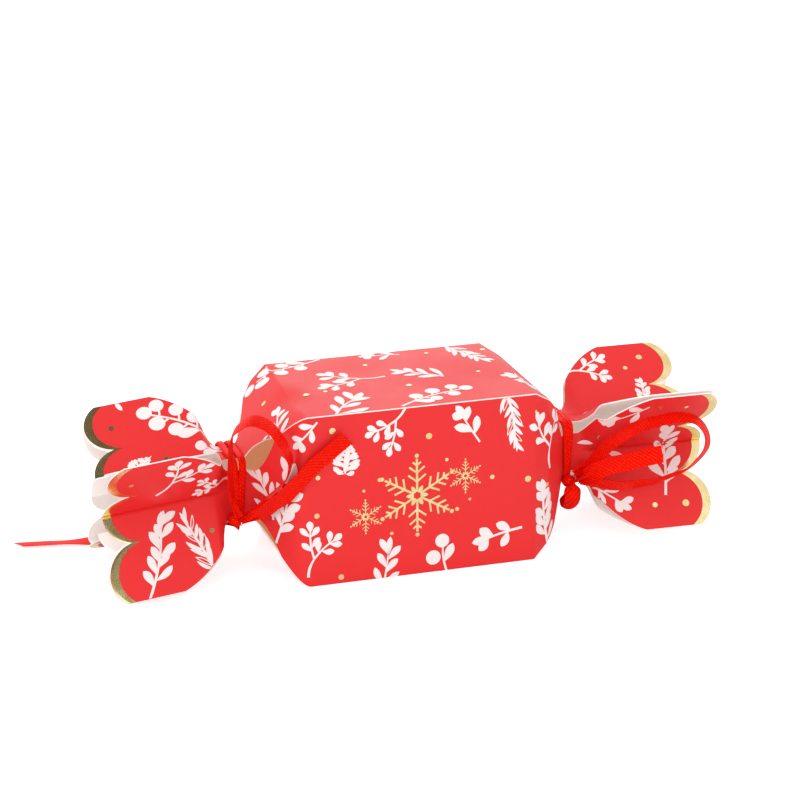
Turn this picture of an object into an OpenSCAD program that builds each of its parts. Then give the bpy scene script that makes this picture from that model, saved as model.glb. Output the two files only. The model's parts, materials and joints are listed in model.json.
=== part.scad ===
// Christmas cracker: a square printed-card barrel with bent petals at both
// ends, two scalloped card flares and a satin ribbon bow at each neck.
// Millimetres. +X runs along the cracker to its right end, -Y is the front,
// +Z is up. The origin is the centre of the barrel's bottom face.

/* [Barrel] */
// Side of the square barrel, outside
barrel_w = 60; // [52:1:72]
// Length of the flat barrel panels
barrel_l = 78.5; // [70:0.5:100]
// Thickness of the card
card_t = 0.4; // [0.3:0.05:0.5]
// Width of the glue flap tucked under the top panel
flap_w = 12; // [8:1:18]
// Distance that the glue flap stops short of the barrel's ends
flap_inset = 3; // [1:0.5:6]

/* [Petals and necks] */
// Length of the bent petals, from barrel to neck
petal_l = 18; // [16:0.5:24]
// Side of the square neck, outside
neck_w = 20; // [18:0.5:24]
// Width of the card strip that each panel has left at the neck
strip_card_w = 12.4; // [10:0.2:13]
// Length of the flat collar that the ribbon is tied round
collar_l = 5; // [5:0.5:8]
// Width of the torn line between petals and collar
tear_gap = 0.3; // [0.25:0.05:0.4]

/* [Flares] */
// Length over which a flare panel widens from its neck strip
spread_l = 19.5; // [16:0.5:24]
// Length of the straight folded side of a flare panel
flare_side_l = 19.5; // [14:0.5:24]
// Droop of the left flare, in degrees
left_droop_angle = 3.5; // [-3:0.5:5]
// Droop of the right flare, in degrees
right_droop_angle = -1.5; // [-3:0.5:5]
// Bend of both flares towards the front, in degrees
sway_angle = 6; // [0:0.5:8]
// Opening of the left front panel's loose half, in degrees
left_front_angle = 41; // [38:1:46]
// Opening of the right front panel's loose half, in degrees
right_front_angle = 39; // [36:1:46]
// Opening of the left top panel's loose half, in degrees
left_top_angle = 23; // [18:1:30]
// Opening of the right top panel's loose half, in degrees
right_top_angle = 28; // [18:1:30]
// Play left along each folded tip of a flare
fold_clear = 0.05; // [0.03:0.01:0.1]

/* [Ribbon] */
// Width of the satin ribbon
ribbon_w = 6; // [4:0.5:8]
// Thickness of the ribbon's solids
ribbon_t = 0.5; // [0.3:0.05:0.6]
// Turns of ribbon round each neck
wrap_turns = 2; // [1:1:2]
// Width of the gathered ribbon in the wrap
bunch_w = 1.3; // [1:0.1:1.4]
// Thickness of the gathered ribbon in the wrap
bunch_t = 0.8; // [0.5:0.1:1]
// Free gap between two turns of the wrap
turn_gap = 0.45; // [0.42:0.01:0.5]
// Play between the wrap and the collar
wrap_clear = 0.25; // [0.2:0.05:0.4]
// Length of the knot along the cracker
knot_l = 4.8; // [4:0.2:6]
// Height of the knot
knot_h = 4.4; // [3.5:0.1:5]
// Depth of the knot, front to back
knot_d = 3.6; // [3:0.1:4.5]

/* [Snap] */
// Width of each snap strip
strip_w = 8; // [6:0.5:9]
// Thickness of each snap strip
strip_t = 0.4; // [0.3:0.05:0.5]
// Length over which the two strips lie on each other
strip_overlap = 30; // [24:1:40]
// Height of the lower strip above the neck's floor
strip_lift = 1; // [0.95:0.05:1.3]
// Length of the paper sleeve round the strips
sleeve_l = 24; // [18:1:28]
// Thickness of the sleeve's paper
paper_t = 0.3; // [0.2:0.05:0.3]
// Running clearance between pieces that slide past each other
slide_clear = 0.3; // [0.25:0.05:0.3]

/* [Contents] */
// Length of the folded paper crown
crown_l = 62; // [50:1:66]
// Height of the folded crown's points above its band
crown_point_h = 12; // [8:0.5:14]
// Width of the folded crown's band
crown_band = 13; // [10:0.5:14]
// Thickness of the folded crown
crown_t = 2.4; // [1.5:0.1:3]
// Length of the rolled motto slip
slip_l = 50; // [40:1:60]
// Outer diameter of the rolled motto slip
slip_d = 7; // [5:0.5:8]
// Wall of the rolled motto slip
slip_wall = 0.9; // [0.6:0.1:1.2]
// Diameter of the spinning top's disc
top_d = 15; // [12:0.5:16]
// Thickness of the spinning top's disc
top_disc_t = 4; // [3:0.5:5]
// Diameter of the spinning top's stem
top_stem_d = 3; // [2.5:0.5:4]
// Length of the spinning top's stem
top_stem_l = 10; // [8:0.5:12]
// Length of the spinning top's point
top_point_l = 6; // [4:0.5:8]

/* [Hidden] */

card_red = "#e04545";
ribbon_red = "#f01505";
board_tan = "#c99a6b";

// Quarter turns about the axis that take the top panel to each panel
top_turns = 0;
front_turns = 1;
bottom_turns = 2;
back_turns = 3;
quarter = 90;

half_w = barrel_w / 2;
axis_z = half_w;
neck_r = neck_w / 2;
strip_half = strip_card_w / 2;
barrel_end = barrel_l / 2;
neck_x = barrel_end + petal_l;
collar_x = neck_x + tear_gap;
spread_x = neck_x + collar_l;
fold_x = spread_x + spread_l;
fold_end_x = fold_x + flare_side_l;

// Petals: the bend is a half cosine, from the barrel's face in to the neck
petal_steps = 12;
// Share of the petal's length at which the closed seam ends
seam_end_share = 0.5;
// Share of the petal's length at which the petal is down to its neck strip
narrow_end_share = 0.86;

function bend(t) = neck_r + (half_w - neck_r) * (1 + cos(180 * t)) / 2;
function bend_slope(t) = -(half_w - neck_r) * PI / 2 * sin(180 * t) / petal_l;
function bend_outer(t) = [barrel_end + petal_l * t, bend(t)];
function bend_inner(t) = let (s = bend_slope(t), n = sqrt(1 + s * s))
  bend_outer(t) + card_t * [s, -1] / n;

outer_bend = [for (i = [0:petal_steps]) bend_outer(i / petal_steps)];
inner_bend = [for (i = [0:petal_steps]) bend_inner(i / petal_steps)];

// Half width of a petal whose closed edge follows the line given
function petal_edge(line) = let (seam_r = bend(seam_end_share))
  [for (i = [0:petal_steps]) let (
    t = i / petal_steps,
    u = min(1, (t - seam_end_share) / (narrow_end_share - seam_end_share)),
    open_half = strip_half + (seam_r - strip_half) * (1 - u) * (1 - u)
  ) [line[i][0], t <= seam_end_share ? line[i][1] : min(line[i][1], open_half)]];

function flipped(points) = [for (i = [len(points) - 1:-1:0]) [points[i][0], -points[i][1]]];
function reversed(points) = [for (i = [len(points) - 1:-1:0]) points[i]];

// A petal of the right end. Top and bottom petals run out to the corners,
// front and back petals butt against their inner faces.
module petal(turns) {
  edge = petal_edge(turns % 2 == 0 ? outer_bend : inner_bend);
  translate([0, 0, axis_z]) rotate([quarter * turns, 0, 0])
    intersection() {
      rotate([90, 0, 0])
        linear_extrude(height = barrel_w, center = true)
          polygon(concat(outer_bend, reversed(inner_bend)));
      linear_extrude(height = barrel_w)
        polygon(concat(edge, flipped(edge)));
    }
}

// Flares: each panel has a valley crease along its middle and three lobes
panel_half = half_w - fold_clear;
lobe_pitch_share = 0.35;
lobe_r_share = 0.512;
lobe_pitch = barrel_w * lobe_pitch_share;
lobe_r = lobe_pitch * lobe_r_share;
lobe_x = fold_end_x - sqrt(lobe_r * lobe_r - pow(half_w - lobe_pitch, 2));
// Angle of a folded half panel, at which its tip lies on the diagonal
fold_angle = acos(neck_r / half_w / sqrt(2)) - 45;
// The inner face stops short of a folded tip by this much
mitre = card_t / tan(45 - fold_angle);
// Share of the widening stretch in which the flat collar turns into the V
open_share = 0.3;
// How soon a panel widens: 1 follows a sine, less is sooner
widen_power = 0.66;
lobe_steps = 4;
side_lobe_steps = 7;
spread_steps = 6;

notch_angle = asin(lobe_pitch / 2 / lobe_r);
side_angle = asin((half_w - lobe_pitch) / lobe_r);
// Places across a half panel, from the crease to the folded tip
across = concat(
  [for (i = [0:lobe_steps]) lobe_r * sin(notch_angle * i / lobe_steps)],
  [for (i = [1:side_lobe_steps])
    lobe_pitch + lobe_r * sin(-notch_angle + (notch_angle + side_angle) * i / side_lobe_steps)]
);
// Places along a flare panel up to where its sides run straight
along = concat([collar_x], [for (i = [0:spread_steps]) spread_x + spread_l * i / spread_steps]);

function clamp01(v) = max(0, min(1, v));
function opened(x) = let (u = clamp01((x - spread_x) / (spread_l * open_share))) u * u * (3 - 2 * u);
function lobe_end(u) = let (c = u <= lobe_pitch / 2 ? 0 : lobe_pitch)
  lobe_x + sqrt(max(0, lobe_r * lobe_r - (u - c) * (u - c)));

// A panel widens on its curve, but no further than the diagonal to its neighbour
function flare_half(x) = let (
  a = fold_angle * opened(x),
  curve = pow(sin(90 * clamp01((x - spread_x) / spread_l)), widen_power)
) min(
  strip_half + (panel_half - strip_half) * curve,
  neck_r / (cos(a) - sin(a)) - fold_clear
);

// A point of a flare: side is -1 or 1, depth is 0 outside and 1 inside
function flare_point(turns, side, j, x, angle, depth, droop) = let (
  a = angle * opened(x),
  share = across[j] / across[len(across) - 1],
  out_u = share * flare_half(x),
  in_u = -card_t * tan(a) + share * (flare_half(x) - mitre + card_t * tan(a)),
  u = depth == 0 ? out_u : in_u,
  w = side * (u * cos(a) + depth * card_t * sin(a)),
  h = neck_r + u * sin(a) - depth * card_t * cos(a),
  past = max(0, x - spread_x)
) [
  x,
  [w, -h, -w, h][turns] - tan(sway_angle) * past,
  axis_z + [h, w, -h, -w][turns] - tan(droop) * past
];

function flare_row_x(i, j) = i < len(along) ? along[i] : lobe_end(across[j]);

// One flare panel of the right end. low_open and high_open are the angles of
// its two halves, low towards the front or the bottom.
module flare(turns, low_open, high_open, droop) {
  last = len(across) - 1;
  columns = concat(
    [for (j = [last:-1:1]) [-1, j, low_open]],
    [for (j = [0:last]) [1, j, high_open]]
  );
  rows = len(along) + 1;
  n = len(columns);
  points = [for (depth = [0:1]) for (i = [0:rows - 1]) for (c = columns)
    flare_point(turns, c[0], c[1], flare_row_x(i, c[1]), c[2], depth, droop)];
  inside = rows * n;
  skin = [for (i = [0:rows - 2]) for (j = [0:n - 2]) let (p = i * n + j)
    each [
      [p, p + n + 1, p + n],
      [p, p + 1, p + n + 1],
      [inside + p, inside + p + n, inside + p + n + 1],
      [inside + p, inside + p + n + 1, inside + p + 1]
    ]];
  ends = [for (j = [0:n - 2]) let (q = (rows - 1) * n + j)
    each [
      [j, inside + j, inside + j + 1],
      [j, inside + j + 1, j + 1],
      [q, q + 1, inside + q + 1],
      [q, inside + q + 1, inside + q]
    ]];
  sides = [for (i = [0:rows - 2]) let (p = i * n, q = p + n - 1)
    each [
      [p, p + n, inside + p + n],
      [p, inside + p + n, inside + p],
      [q, inside + q, inside + q + n],
      [q, inside + q + n, q + n]
    ]];
  polyhedron(points, concat(skin, ends, sides));
}

// Ribbon: a flat tube swept along points. guide is the way that the ribbon's
// width lies, one for all points or one for each, and the shares give its
// eight-sided section.
section_shares = [
  [0.5, 0.25], [0.42, 0.5], [-0.42, 0.5], [-0.5, 0.25],
  [-0.5, -0.25], [-0.42, -0.5], [0.42, -0.5], [0.5, -0.25]
];
strand_shares = [[0.5, 0], [0.3, 0.5], [-0.3, 0.5], [-0.5, 0], [-0.3, -0.5], [0.3, -0.5]];

// Share of the ribbon's width that shows at each point away from a knot
gather_shares = [0.4, 0.6, 0.85];

function unit(v) = v / norm(v);
function ring(p, i, guide, w, t, shares) = let (
  m = len(p) - 1,
  tangent = unit(p[min(i + 1, m)] - p[max(i - 1, 0)]),
  way = is_num(guide[0]) ? guide : guide[i],
  side = unit(way - (way * tangent) * tangent),
  normal = cross(tangent, side)
) [for (s = shares) p[i] + side * s[0] * w + normal * s[1] * t];
function gathered(i) = i < len(gather_shares) ? gather_shares[i] : 1;

// first and last say which ends of the ribbon are drawn into a knot
module sweep(p, guide, w, t, shares, first = false, last = false) {
  n = len(shares);
  m = len(p) - 1;
  end = m * n;
  points = [for (i = [0:m]) let (
    full = min(first ? gathered(i) : 1, last ? gathered(m - i) : 1)
  ) each ring(p, i, guide, w * full, t, shares)];
  walls = [for (i = [0:m - 1]) for (j = [0:n - 1]) let (
    a = i * n + j,
    b = i * n + (j + 1) % n
  ) each [[a, b + n, b], [a, a + n, b + n]]];
  caps = [for (j = [1:n - 2]) each [[0, j, j + 1], [end, end + j + 1, end + j]]];
  polyhedron(points, concat(walls, caps));
}

// The wrap winds round the collar as a helix on a rounded square
wrap_pitch = bunch_w + turn_gap;
wrap_x = (collar_x + spread_x) / 2;
wrap_r = neck_r + wrap_clear + bunch_t / 2;
wrap_power = 6;
wrap_rings = 24;
// The ends of the wrap lie behind the knot, at the lower front corner
knot_angle = 225;

function wrap_point(k) = let (
  a = knot_angle + 360 * k / wrap_rings,
  r = wrap_r / pow(pow(abs(cos(a)), wrap_power) + pow(abs(sin(a)), wrap_power), 1 / wrap_power)
) [
  wrap_x + wrap_pitch * (k / wrap_rings - wrap_turns / 2),
  r * cos(a),
  axis_z + r * sin(a)
];

wrap_path = [for (k = [0:wrap_rings * wrap_turns]) wrap_point(k)];
wrap_surface = [for (i = [0:len(wrap_path) - 1])
  ring(wrap_path, i, [1, 0, 0], bunch_w, bunch_t, strand_shares)];
near_rings = 2;
wrap_gaps = [for (i = [0:len(wrap_path) - 1])
  for (k = [i + wrap_rings - near_rings:min(i + wrap_rings + near_rings, len(wrap_path) - 1)])
    for (p = wrap_surface[i]) for (q = wrap_surface[k]) norm(p - q)];
echo(least_gap_between_wrap_turns = len(wrap_gaps) > 0 ? min(wrap_gaps) : turn_gap);

module wrap() {
  sweep(wrap_path, [1, 0, 0], bunch_w, bunch_t, strand_shares);
}

// The knot sits on the wrap's lower front corner, a lump with bevelled edges,
// this much further out than the wrap's flat front
knot_lift = 0.65;
knot_y = -(neck_r + wrap_clear + bunch_t + knot_lift);
knot_z = axis_z - neck_r;
// Share of the knot's size that its flat sides keep between the bevels
knot_flat_share = 0.55;

module knot() {
  f = knot_flat_share;
  translate([wrap_x, knot_y, knot_z])
    hull()
      for (size = [
        [knot_l, knot_d * f, knot_h * f],
        [knot_l * f, knot_d, knot_h * f],
        [knot_l * f, knot_d * f, knot_h]
      ])
        cube(size, center = true);
}

// Ribbon routes, measured from the middle of their knot, points chosen by hand
left_loop_route = [
  [0, -3, 2], [-2, -4, 8], [-3, -4, 16], [-3, -5, 24], [-3, -8, 32], [-1, -10, 36], [3, -13, 39],
  [8, -15, 37], [11, -17, 33], [13, -19, 29], [14, -19, 25], [13, -17, 19], [10, -14, 14],
  [7, -9, 9], [4, -4, 4], [2, -2, 1]
];
left_loop_guide = [-0.47, -0.87, -0.09];
left_front_tail_route = [
  [1, -3, 0], [4, -7, 3], [7, -10, 6], [9, -13, 9], [12, -16, 12], [14, -18, 15], [17, -20, 19],
  [21, -20, 23], [25, -20, 26], [29, -20, 29], [33, -20, 32]
];
left_front_tail_guide = [-0.6, 0.1, 0.7];
left_back_tail_route = [
  [0, -1, -2.3], [-0.5, 3, -3], [-1.5, 8, -4.1], [-3, 14, -7], [-5, 21, -12], [-8, 28, -16],
  [-12, 34, -18.2], [-18, 38, -19], [-25, 40.5, -19.2], [-33, 42, -19.2], [-41, 43.5, -19.2],
  [-50, 45, -19.2], [-58, 46.5, -19.2], [-67.5, 48, -19.2]
];
left_back_tail_guide = [0.3, 1, -0.15];
right_loop_route = [
  [0, -2, 3], [2, -3, 5], [5, -7, 9], [8, -11, 15], [12, -15, 20], [17, -18, 24], [23, -20, 26],
  [29, -21, 27], [35, -21, 26], [39, -21, 23], [41, -21, 19], [41, -21, 15], [39, -20, 11],
  [35, -19, 7], [30, -18, 5], [24, -17, 3], [18, -15, 2], [12, -12, 1], [6, -7, 1], [2, -3, 1]
];
right_loop_guides = [
  [0.1, -0.8, -0.5], [-0.1, -0.8, -0.6], [-0.1, -0.8, -0.6], [-0.1, -0.8, -0.5], [-0.2, -0.9, -0.4],
  [-0.2, -0.9, -0.4], [-0.2, -0.9, -0.3], [-0.1, -1, -0.3], [-0.1, -0.9, -0.3], [-0.4, -0.9, -0.3],
  [-0.6, -0.8, -0.1], [-0.7, -0.7, 0.1], [-0.6, -0.7, 0.3], [-0.5, -0.8, 0.4], [-0.3, -0.8, 0.6],
  [-0.3, -0.7, 0.6], [-0.4, -0.6, 0.7], [-0.4, -0.5, 0.8], [-0.3, -0.3, 0.9], [-0.3, -0.3, 0.9]
];
right_tail_route = [
  [0, -3, 0.7], [2, -7, 4], [5, -11, 7], [9, -15, 10], [13, -19, 12], [18, -22, 14], [24, -25, 16]
];
right_tail_guide = [-0.3, 0.3, 0.9];
right_short_loop_route = [
  [0, -2, 0], [0, -4, -3], [-1, -4, -6], [-1, -2, -8], [-2, 0, -7], [-2, 0, -4]
];
right_short_loop_guide = [1, 0.1, 0];

module ribbon_loop(knot_x, route, guide) {
  color(ribbon_red) translate([knot_x, knot_y, knot_z])
    sweep(route, guide, ribbon_w, ribbon_t, section_shares, first = true, last = true);
}
module ribbon_tail(knot_x, route, guide) {
  color(ribbon_red) translate([knot_x, knot_y, knot_z])
    sweep(route, guide, ribbon_w, ribbon_t, section_shares, first = true);
}

// Snap: two strips that lie on each other in a paper sleeve
neck_floor_z = axis_z - neck_r + card_t;
left_strip_z = neck_floor_z + strip_lift;
right_strip_z = left_strip_z + strip_t + slide_clear;
// Share of the collar's length in which a strip comes down to the collar
strip_step_share = 0.4;

module snap_strip(z) {
  line = [
    [-strip_overlap / 2, z],
    [neck_x, z],
    [neck_x + collar_l * strip_step_share, neck_floor_z],
    [spread_x, neck_floor_z]
  ];
  raised = [for (p = line) p + [0, strip_t]];
  rotate([90, 0, 0])
    linear_extrude(height = strip_w, center = true)
      polygon(concat(line, reversed(raised)));
}

module at_left() { mirror([1, 0, 0]) children(); }

// Barrel
module barrel_top() {
  color(card_red) translate([-barrel_end, -half_w, barrel_w - card_t])
    cube([barrel_l, barrel_w, card_t]);
}
module barrel_bottom() {
  color(card_red) translate([-barrel_end, -half_w, 0])
    cube([barrel_l, barrel_w, card_t]);
}
module barrel_front() {
  color(card_red) translate([-barrel_end, -half_w, card_t])
    cube([barrel_l, card_t, barrel_w - 2 * card_t]);
}
module barrel_back() {
  color(card_red) translate([-barrel_end, half_w - card_t, card_t])
    cube([barrel_l, card_t, barrel_w - 2 * card_t]);
}
module glue_flap() {
  color("white") translate([-barrel_end + flap_inset, -half_w + card_t, barrel_w - 2 * card_t])
    cube([barrel_l - 2 * flap_inset, flap_w, card_t]);
}

// Petals
module left_petal_front() { color(card_red) at_left() petal(front_turns); }
module left_petal_top() { color(card_red) at_left() petal(top_turns); }
module left_petal_back() { color(card_red) at_left() petal(back_turns); }
module left_petal_bottom() { color(card_red) at_left() petal(bottom_turns); }
module right_petal_front() { color(card_red) petal(front_turns); }
module right_petal_top() { color(card_red) petal(top_turns); }
module right_petal_back() { color(card_red) petal(back_turns); }
module right_petal_bottom() { color(card_red) petal(bottom_turns); }

// Flares
module left_flare_front() {
  color(card_red) at_left() flare(front_turns, fold_angle, left_front_angle, left_droop_angle);
}
module left_flare_top() {
  color(card_red) at_left() flare(top_turns, left_top_angle, fold_angle, left_droop_angle);
}
module left_flare_back() {
  color(card_red) at_left() flare(back_turns, fold_angle, fold_angle, left_droop_angle);
}
module left_flare_bottom() {
  color(card_red) at_left() flare(bottom_turns, fold_angle, fold_angle, left_droop_angle);
}
module right_flare_front() {
  color(card_red) flare(front_turns, fold_angle, right_front_angle, right_droop_angle);
}
module right_flare_top() {
  color(card_red) flare(top_turns, right_top_angle, fold_angle, right_droop_angle);
}
module right_flare_back() {
  color(card_red) flare(back_turns, fold_angle, fold_angle, right_droop_angle);
}
module right_flare_bottom() {
  color(card_red) flare(bottom_turns, fold_angle, fold_angle, right_droop_angle);
}

// Ribbons
module left_ribbon_wrap() { color(ribbon_red) at_left() wrap(); }
module left_ribbon_knot() { color(ribbon_red) at_left() knot(); }
module left_ribbon_loop() { ribbon_loop(-wrap_x, left_loop_route, left_loop_guide); }
module left_ribbon_front_tail() { ribbon_tail(-wrap_x, left_front_tail_route, left_front_tail_guide); }
module left_ribbon_back_tail() { ribbon_tail(-wrap_x, left_back_tail_route, left_back_tail_guide); }
module right_ribbon_wrap() { color(ribbon_red) wrap(); }
module right_ribbon_knot() { color(ribbon_red) knot(); }
module right_ribbon_loop() { ribbon_loop(wrap_x, right_loop_route, right_loop_guides); }
module right_ribbon_tail() { ribbon_tail(wrap_x, right_tail_route, right_tail_guide); }
module right_ribbon_short_loop() { ribbon_loop(wrap_x, right_short_loop_route, right_short_loop_guide); }

// Snap
module left_snap_strip() { color(board_tan) at_left() snap_strip(left_strip_z); }
module right_snap_strip() { color(board_tan) snap_strip(right_strip_z); }
module snap_sleeve() {
  bore_w = strip_w + 2 * slide_clear;
  bore_z = left_strip_z - slide_clear;
  bore_h = right_strip_z + strip_t - bore_z;
  color("white") rotate([90, 0, 90])
    linear_extrude(height = sleeve_l, center = true)
      difference() {
        translate([-bore_w / 2 - paper_t, bore_z - paper_t])
          square([bore_w + 2 * paper_t, bore_h + 2 * paper_t]);
        translate([-bore_w / 2, bore_z])
          square([bore_w, bore_h]);
      }
}

// Contents: the crown and the top lie on the barrel's floor, the slip on the crown
crown_points = 6;
contents_gap = 3;
crown_y = -half_w + card_t + contents_gap;
// Room left under a round piece where it rests
rest_clear = 0.02;
slip_y = crown_y + crown_band / 2;
slip_z = card_t + crown_t + rest_clear + slip_d / 2;

module paper_crown() {
  step = crown_l / crown_points;
  color("gold") translate([-crown_l / 2, crown_y, card_t])
    linear_extrude(height = crown_t)
      polygon(concat(
        [[crown_l, 0], [0, 0], [0, crown_band]],
        [for (i = [0:crown_points - 1]) each [
          [step * (i + 0.5), crown_band + crown_point_h],
          [step * (i + 1), crown_band]
        ]]
      ));
}
module motto_slip() {
  color("ivory") translate([0, slip_y, slip_z]) rotate([0, 90, 0])
    difference() {
      cylinder(h = slip_l, d = slip_d, center = true, $fn = 32);
      cylinder(h = slip_l + slip_d, d = slip_d - 2 * slip_wall, center = true, $fn = 32);
    }
}

// The top lies on its disc's rim and its stem's end
top_tilt = atan2((top_d - top_stem_d) / 2, top_stem_l);
top_rim_drop = top_d / 2 * cos(top_tilt) + top_disc_t * sin(top_tilt);
top_y = crown_y + crown_band + crown_point_h + contents_gap;

module spinning_top() {
  color("royalblue") translate([-top_d, top_y + top_d / 2, card_t + rest_clear + top_rim_drop])
    rotate([0, 90 + top_tilt, 0])
      rotate_extrude($fn = 48)
        polygon([
          [0, -top_point_l],
          [top_stem_d / 2, -top_point_l / 2],
          [top_d / 2, 0],
          [top_d / 2, top_disc_t],
          [top_stem_d / 2, top_disc_t],
          [top_stem_d / 2, top_disc_t + top_stem_l],
          [0, top_disc_t + top_stem_l]
        ]);
}

barrel_front();
barrel_top();
barrel_back();
barrel_bottom();
glue_flap();
left_petal_front();
left_petal_top();
left_petal_back();
left_petal_bottom();
right_petal_front();
right_petal_top();
right_petal_back();
right_petal_bottom();
left_flare_front();
left_flare_top();
left_flare_back();
left_flare_bottom();
right_flare_front();
right_flare_top();
right_flare_back();
right_flare_bottom();
left_ribbon_wrap();
left_ribbon_knot();
left_ribbon_loop();
left_ribbon_front_tail();
left_ribbon_back_tail();
right_ribbon_wrap();
right_ribbon_knot();
right_ribbon_loop();
right_ribbon_tail();
right_ribbon_short_loop();
left_snap_strip();
right_snap_strip();
snap_sleeve();
paper_crown();
motto_slip();
spinning_top();
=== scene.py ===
import cmath
import json
import math
import random

import bmesh
import bpy
from mathutils import Vector
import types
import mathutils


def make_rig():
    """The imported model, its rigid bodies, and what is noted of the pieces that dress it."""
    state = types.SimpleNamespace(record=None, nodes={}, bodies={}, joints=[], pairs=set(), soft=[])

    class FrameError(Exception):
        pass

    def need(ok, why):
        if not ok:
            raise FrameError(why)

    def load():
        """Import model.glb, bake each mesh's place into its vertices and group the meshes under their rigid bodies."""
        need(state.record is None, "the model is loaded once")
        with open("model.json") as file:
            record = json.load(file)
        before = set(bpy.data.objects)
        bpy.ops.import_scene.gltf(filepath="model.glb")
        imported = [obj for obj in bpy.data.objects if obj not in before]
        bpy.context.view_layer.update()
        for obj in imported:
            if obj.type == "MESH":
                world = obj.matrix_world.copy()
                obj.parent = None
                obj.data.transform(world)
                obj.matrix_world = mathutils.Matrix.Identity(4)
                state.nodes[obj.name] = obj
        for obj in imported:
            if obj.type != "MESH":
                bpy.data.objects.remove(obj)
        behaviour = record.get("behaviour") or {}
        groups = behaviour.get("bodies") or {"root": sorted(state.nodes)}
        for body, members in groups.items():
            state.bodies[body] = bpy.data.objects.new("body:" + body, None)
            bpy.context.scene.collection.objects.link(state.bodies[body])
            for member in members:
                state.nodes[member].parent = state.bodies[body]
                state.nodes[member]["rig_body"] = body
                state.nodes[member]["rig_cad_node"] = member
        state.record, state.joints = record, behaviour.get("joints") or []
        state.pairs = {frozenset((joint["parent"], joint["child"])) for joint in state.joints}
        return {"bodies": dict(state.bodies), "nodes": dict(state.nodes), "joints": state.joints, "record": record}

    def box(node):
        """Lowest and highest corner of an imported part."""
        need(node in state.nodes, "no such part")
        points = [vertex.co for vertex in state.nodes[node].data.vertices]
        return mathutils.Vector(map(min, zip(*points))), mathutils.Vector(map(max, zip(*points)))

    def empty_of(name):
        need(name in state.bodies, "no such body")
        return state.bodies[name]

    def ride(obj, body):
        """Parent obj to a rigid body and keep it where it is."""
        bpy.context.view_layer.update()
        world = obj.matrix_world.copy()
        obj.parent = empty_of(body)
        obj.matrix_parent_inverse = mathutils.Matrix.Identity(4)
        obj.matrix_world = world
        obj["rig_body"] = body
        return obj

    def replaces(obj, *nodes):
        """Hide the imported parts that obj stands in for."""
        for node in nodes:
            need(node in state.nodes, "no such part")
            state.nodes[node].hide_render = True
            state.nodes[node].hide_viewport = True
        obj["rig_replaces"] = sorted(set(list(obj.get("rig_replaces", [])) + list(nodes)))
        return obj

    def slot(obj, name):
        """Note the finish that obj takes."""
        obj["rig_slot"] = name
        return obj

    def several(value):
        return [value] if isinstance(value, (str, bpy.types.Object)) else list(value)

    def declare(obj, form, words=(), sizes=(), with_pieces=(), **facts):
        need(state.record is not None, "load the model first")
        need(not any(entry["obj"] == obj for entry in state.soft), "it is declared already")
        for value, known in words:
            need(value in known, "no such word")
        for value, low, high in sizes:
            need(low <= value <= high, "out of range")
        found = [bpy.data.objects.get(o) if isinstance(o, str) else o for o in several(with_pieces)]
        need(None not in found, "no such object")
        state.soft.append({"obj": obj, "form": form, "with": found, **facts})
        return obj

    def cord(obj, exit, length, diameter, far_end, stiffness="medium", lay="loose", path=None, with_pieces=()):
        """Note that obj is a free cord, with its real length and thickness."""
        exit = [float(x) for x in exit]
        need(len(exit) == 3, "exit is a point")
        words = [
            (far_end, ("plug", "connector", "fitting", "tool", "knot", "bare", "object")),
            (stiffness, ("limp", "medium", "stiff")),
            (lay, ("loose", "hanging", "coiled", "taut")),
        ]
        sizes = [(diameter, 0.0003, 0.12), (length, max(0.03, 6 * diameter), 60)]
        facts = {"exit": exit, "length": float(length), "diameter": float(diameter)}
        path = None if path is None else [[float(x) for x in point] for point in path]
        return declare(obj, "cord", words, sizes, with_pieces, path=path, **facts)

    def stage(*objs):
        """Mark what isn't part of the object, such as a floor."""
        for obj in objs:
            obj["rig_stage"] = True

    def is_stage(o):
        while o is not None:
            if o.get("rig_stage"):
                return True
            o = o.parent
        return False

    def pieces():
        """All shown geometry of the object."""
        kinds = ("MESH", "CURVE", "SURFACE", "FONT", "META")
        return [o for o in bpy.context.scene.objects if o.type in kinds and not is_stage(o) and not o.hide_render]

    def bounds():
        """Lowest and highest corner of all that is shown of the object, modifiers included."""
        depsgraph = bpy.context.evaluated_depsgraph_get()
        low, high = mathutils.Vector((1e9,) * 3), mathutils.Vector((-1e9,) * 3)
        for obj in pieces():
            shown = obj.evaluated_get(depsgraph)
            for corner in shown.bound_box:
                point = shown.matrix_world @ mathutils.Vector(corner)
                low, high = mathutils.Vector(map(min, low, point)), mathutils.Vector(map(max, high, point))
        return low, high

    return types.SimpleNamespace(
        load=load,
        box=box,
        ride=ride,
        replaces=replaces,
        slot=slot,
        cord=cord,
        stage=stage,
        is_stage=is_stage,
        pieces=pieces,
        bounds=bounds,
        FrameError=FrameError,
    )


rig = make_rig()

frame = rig.load()
cad_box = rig.bounds()

MM = 0.001
scene = bpy.context.scene

# The panels of the folded card, as quarter turns from the top panel
TOP, FRONT, BOTTOM, BACK = range(4)
PANELS = {"top": TOP, "front": FRONT, "bottom": BOTTOM, "back": BACK}
ENDS = {"left": -1, "right": 1}

# Sizes of the folded card, read from the frame
barrel_low, barrel_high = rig.box("barrel_top")
petal_low, petal_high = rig.box("right_petal_top")
flare_low, flare_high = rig.box("right_flare_back")
CARD_T = barrel_high.z - barrel_low.z
HALF_W = barrel_high.y
AXIS_Z = barrel_high.z - HALF_W
BARREL_END = barrel_high.x
NECK_X = petal_high.x
PETAL_L = NECK_X - BARREL_END
NECK_R = petal_low.z + CARD_T - AXIS_Z
COLLAR_X = flare_low.x
LOBE_TIP_X = flare_high.x

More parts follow.
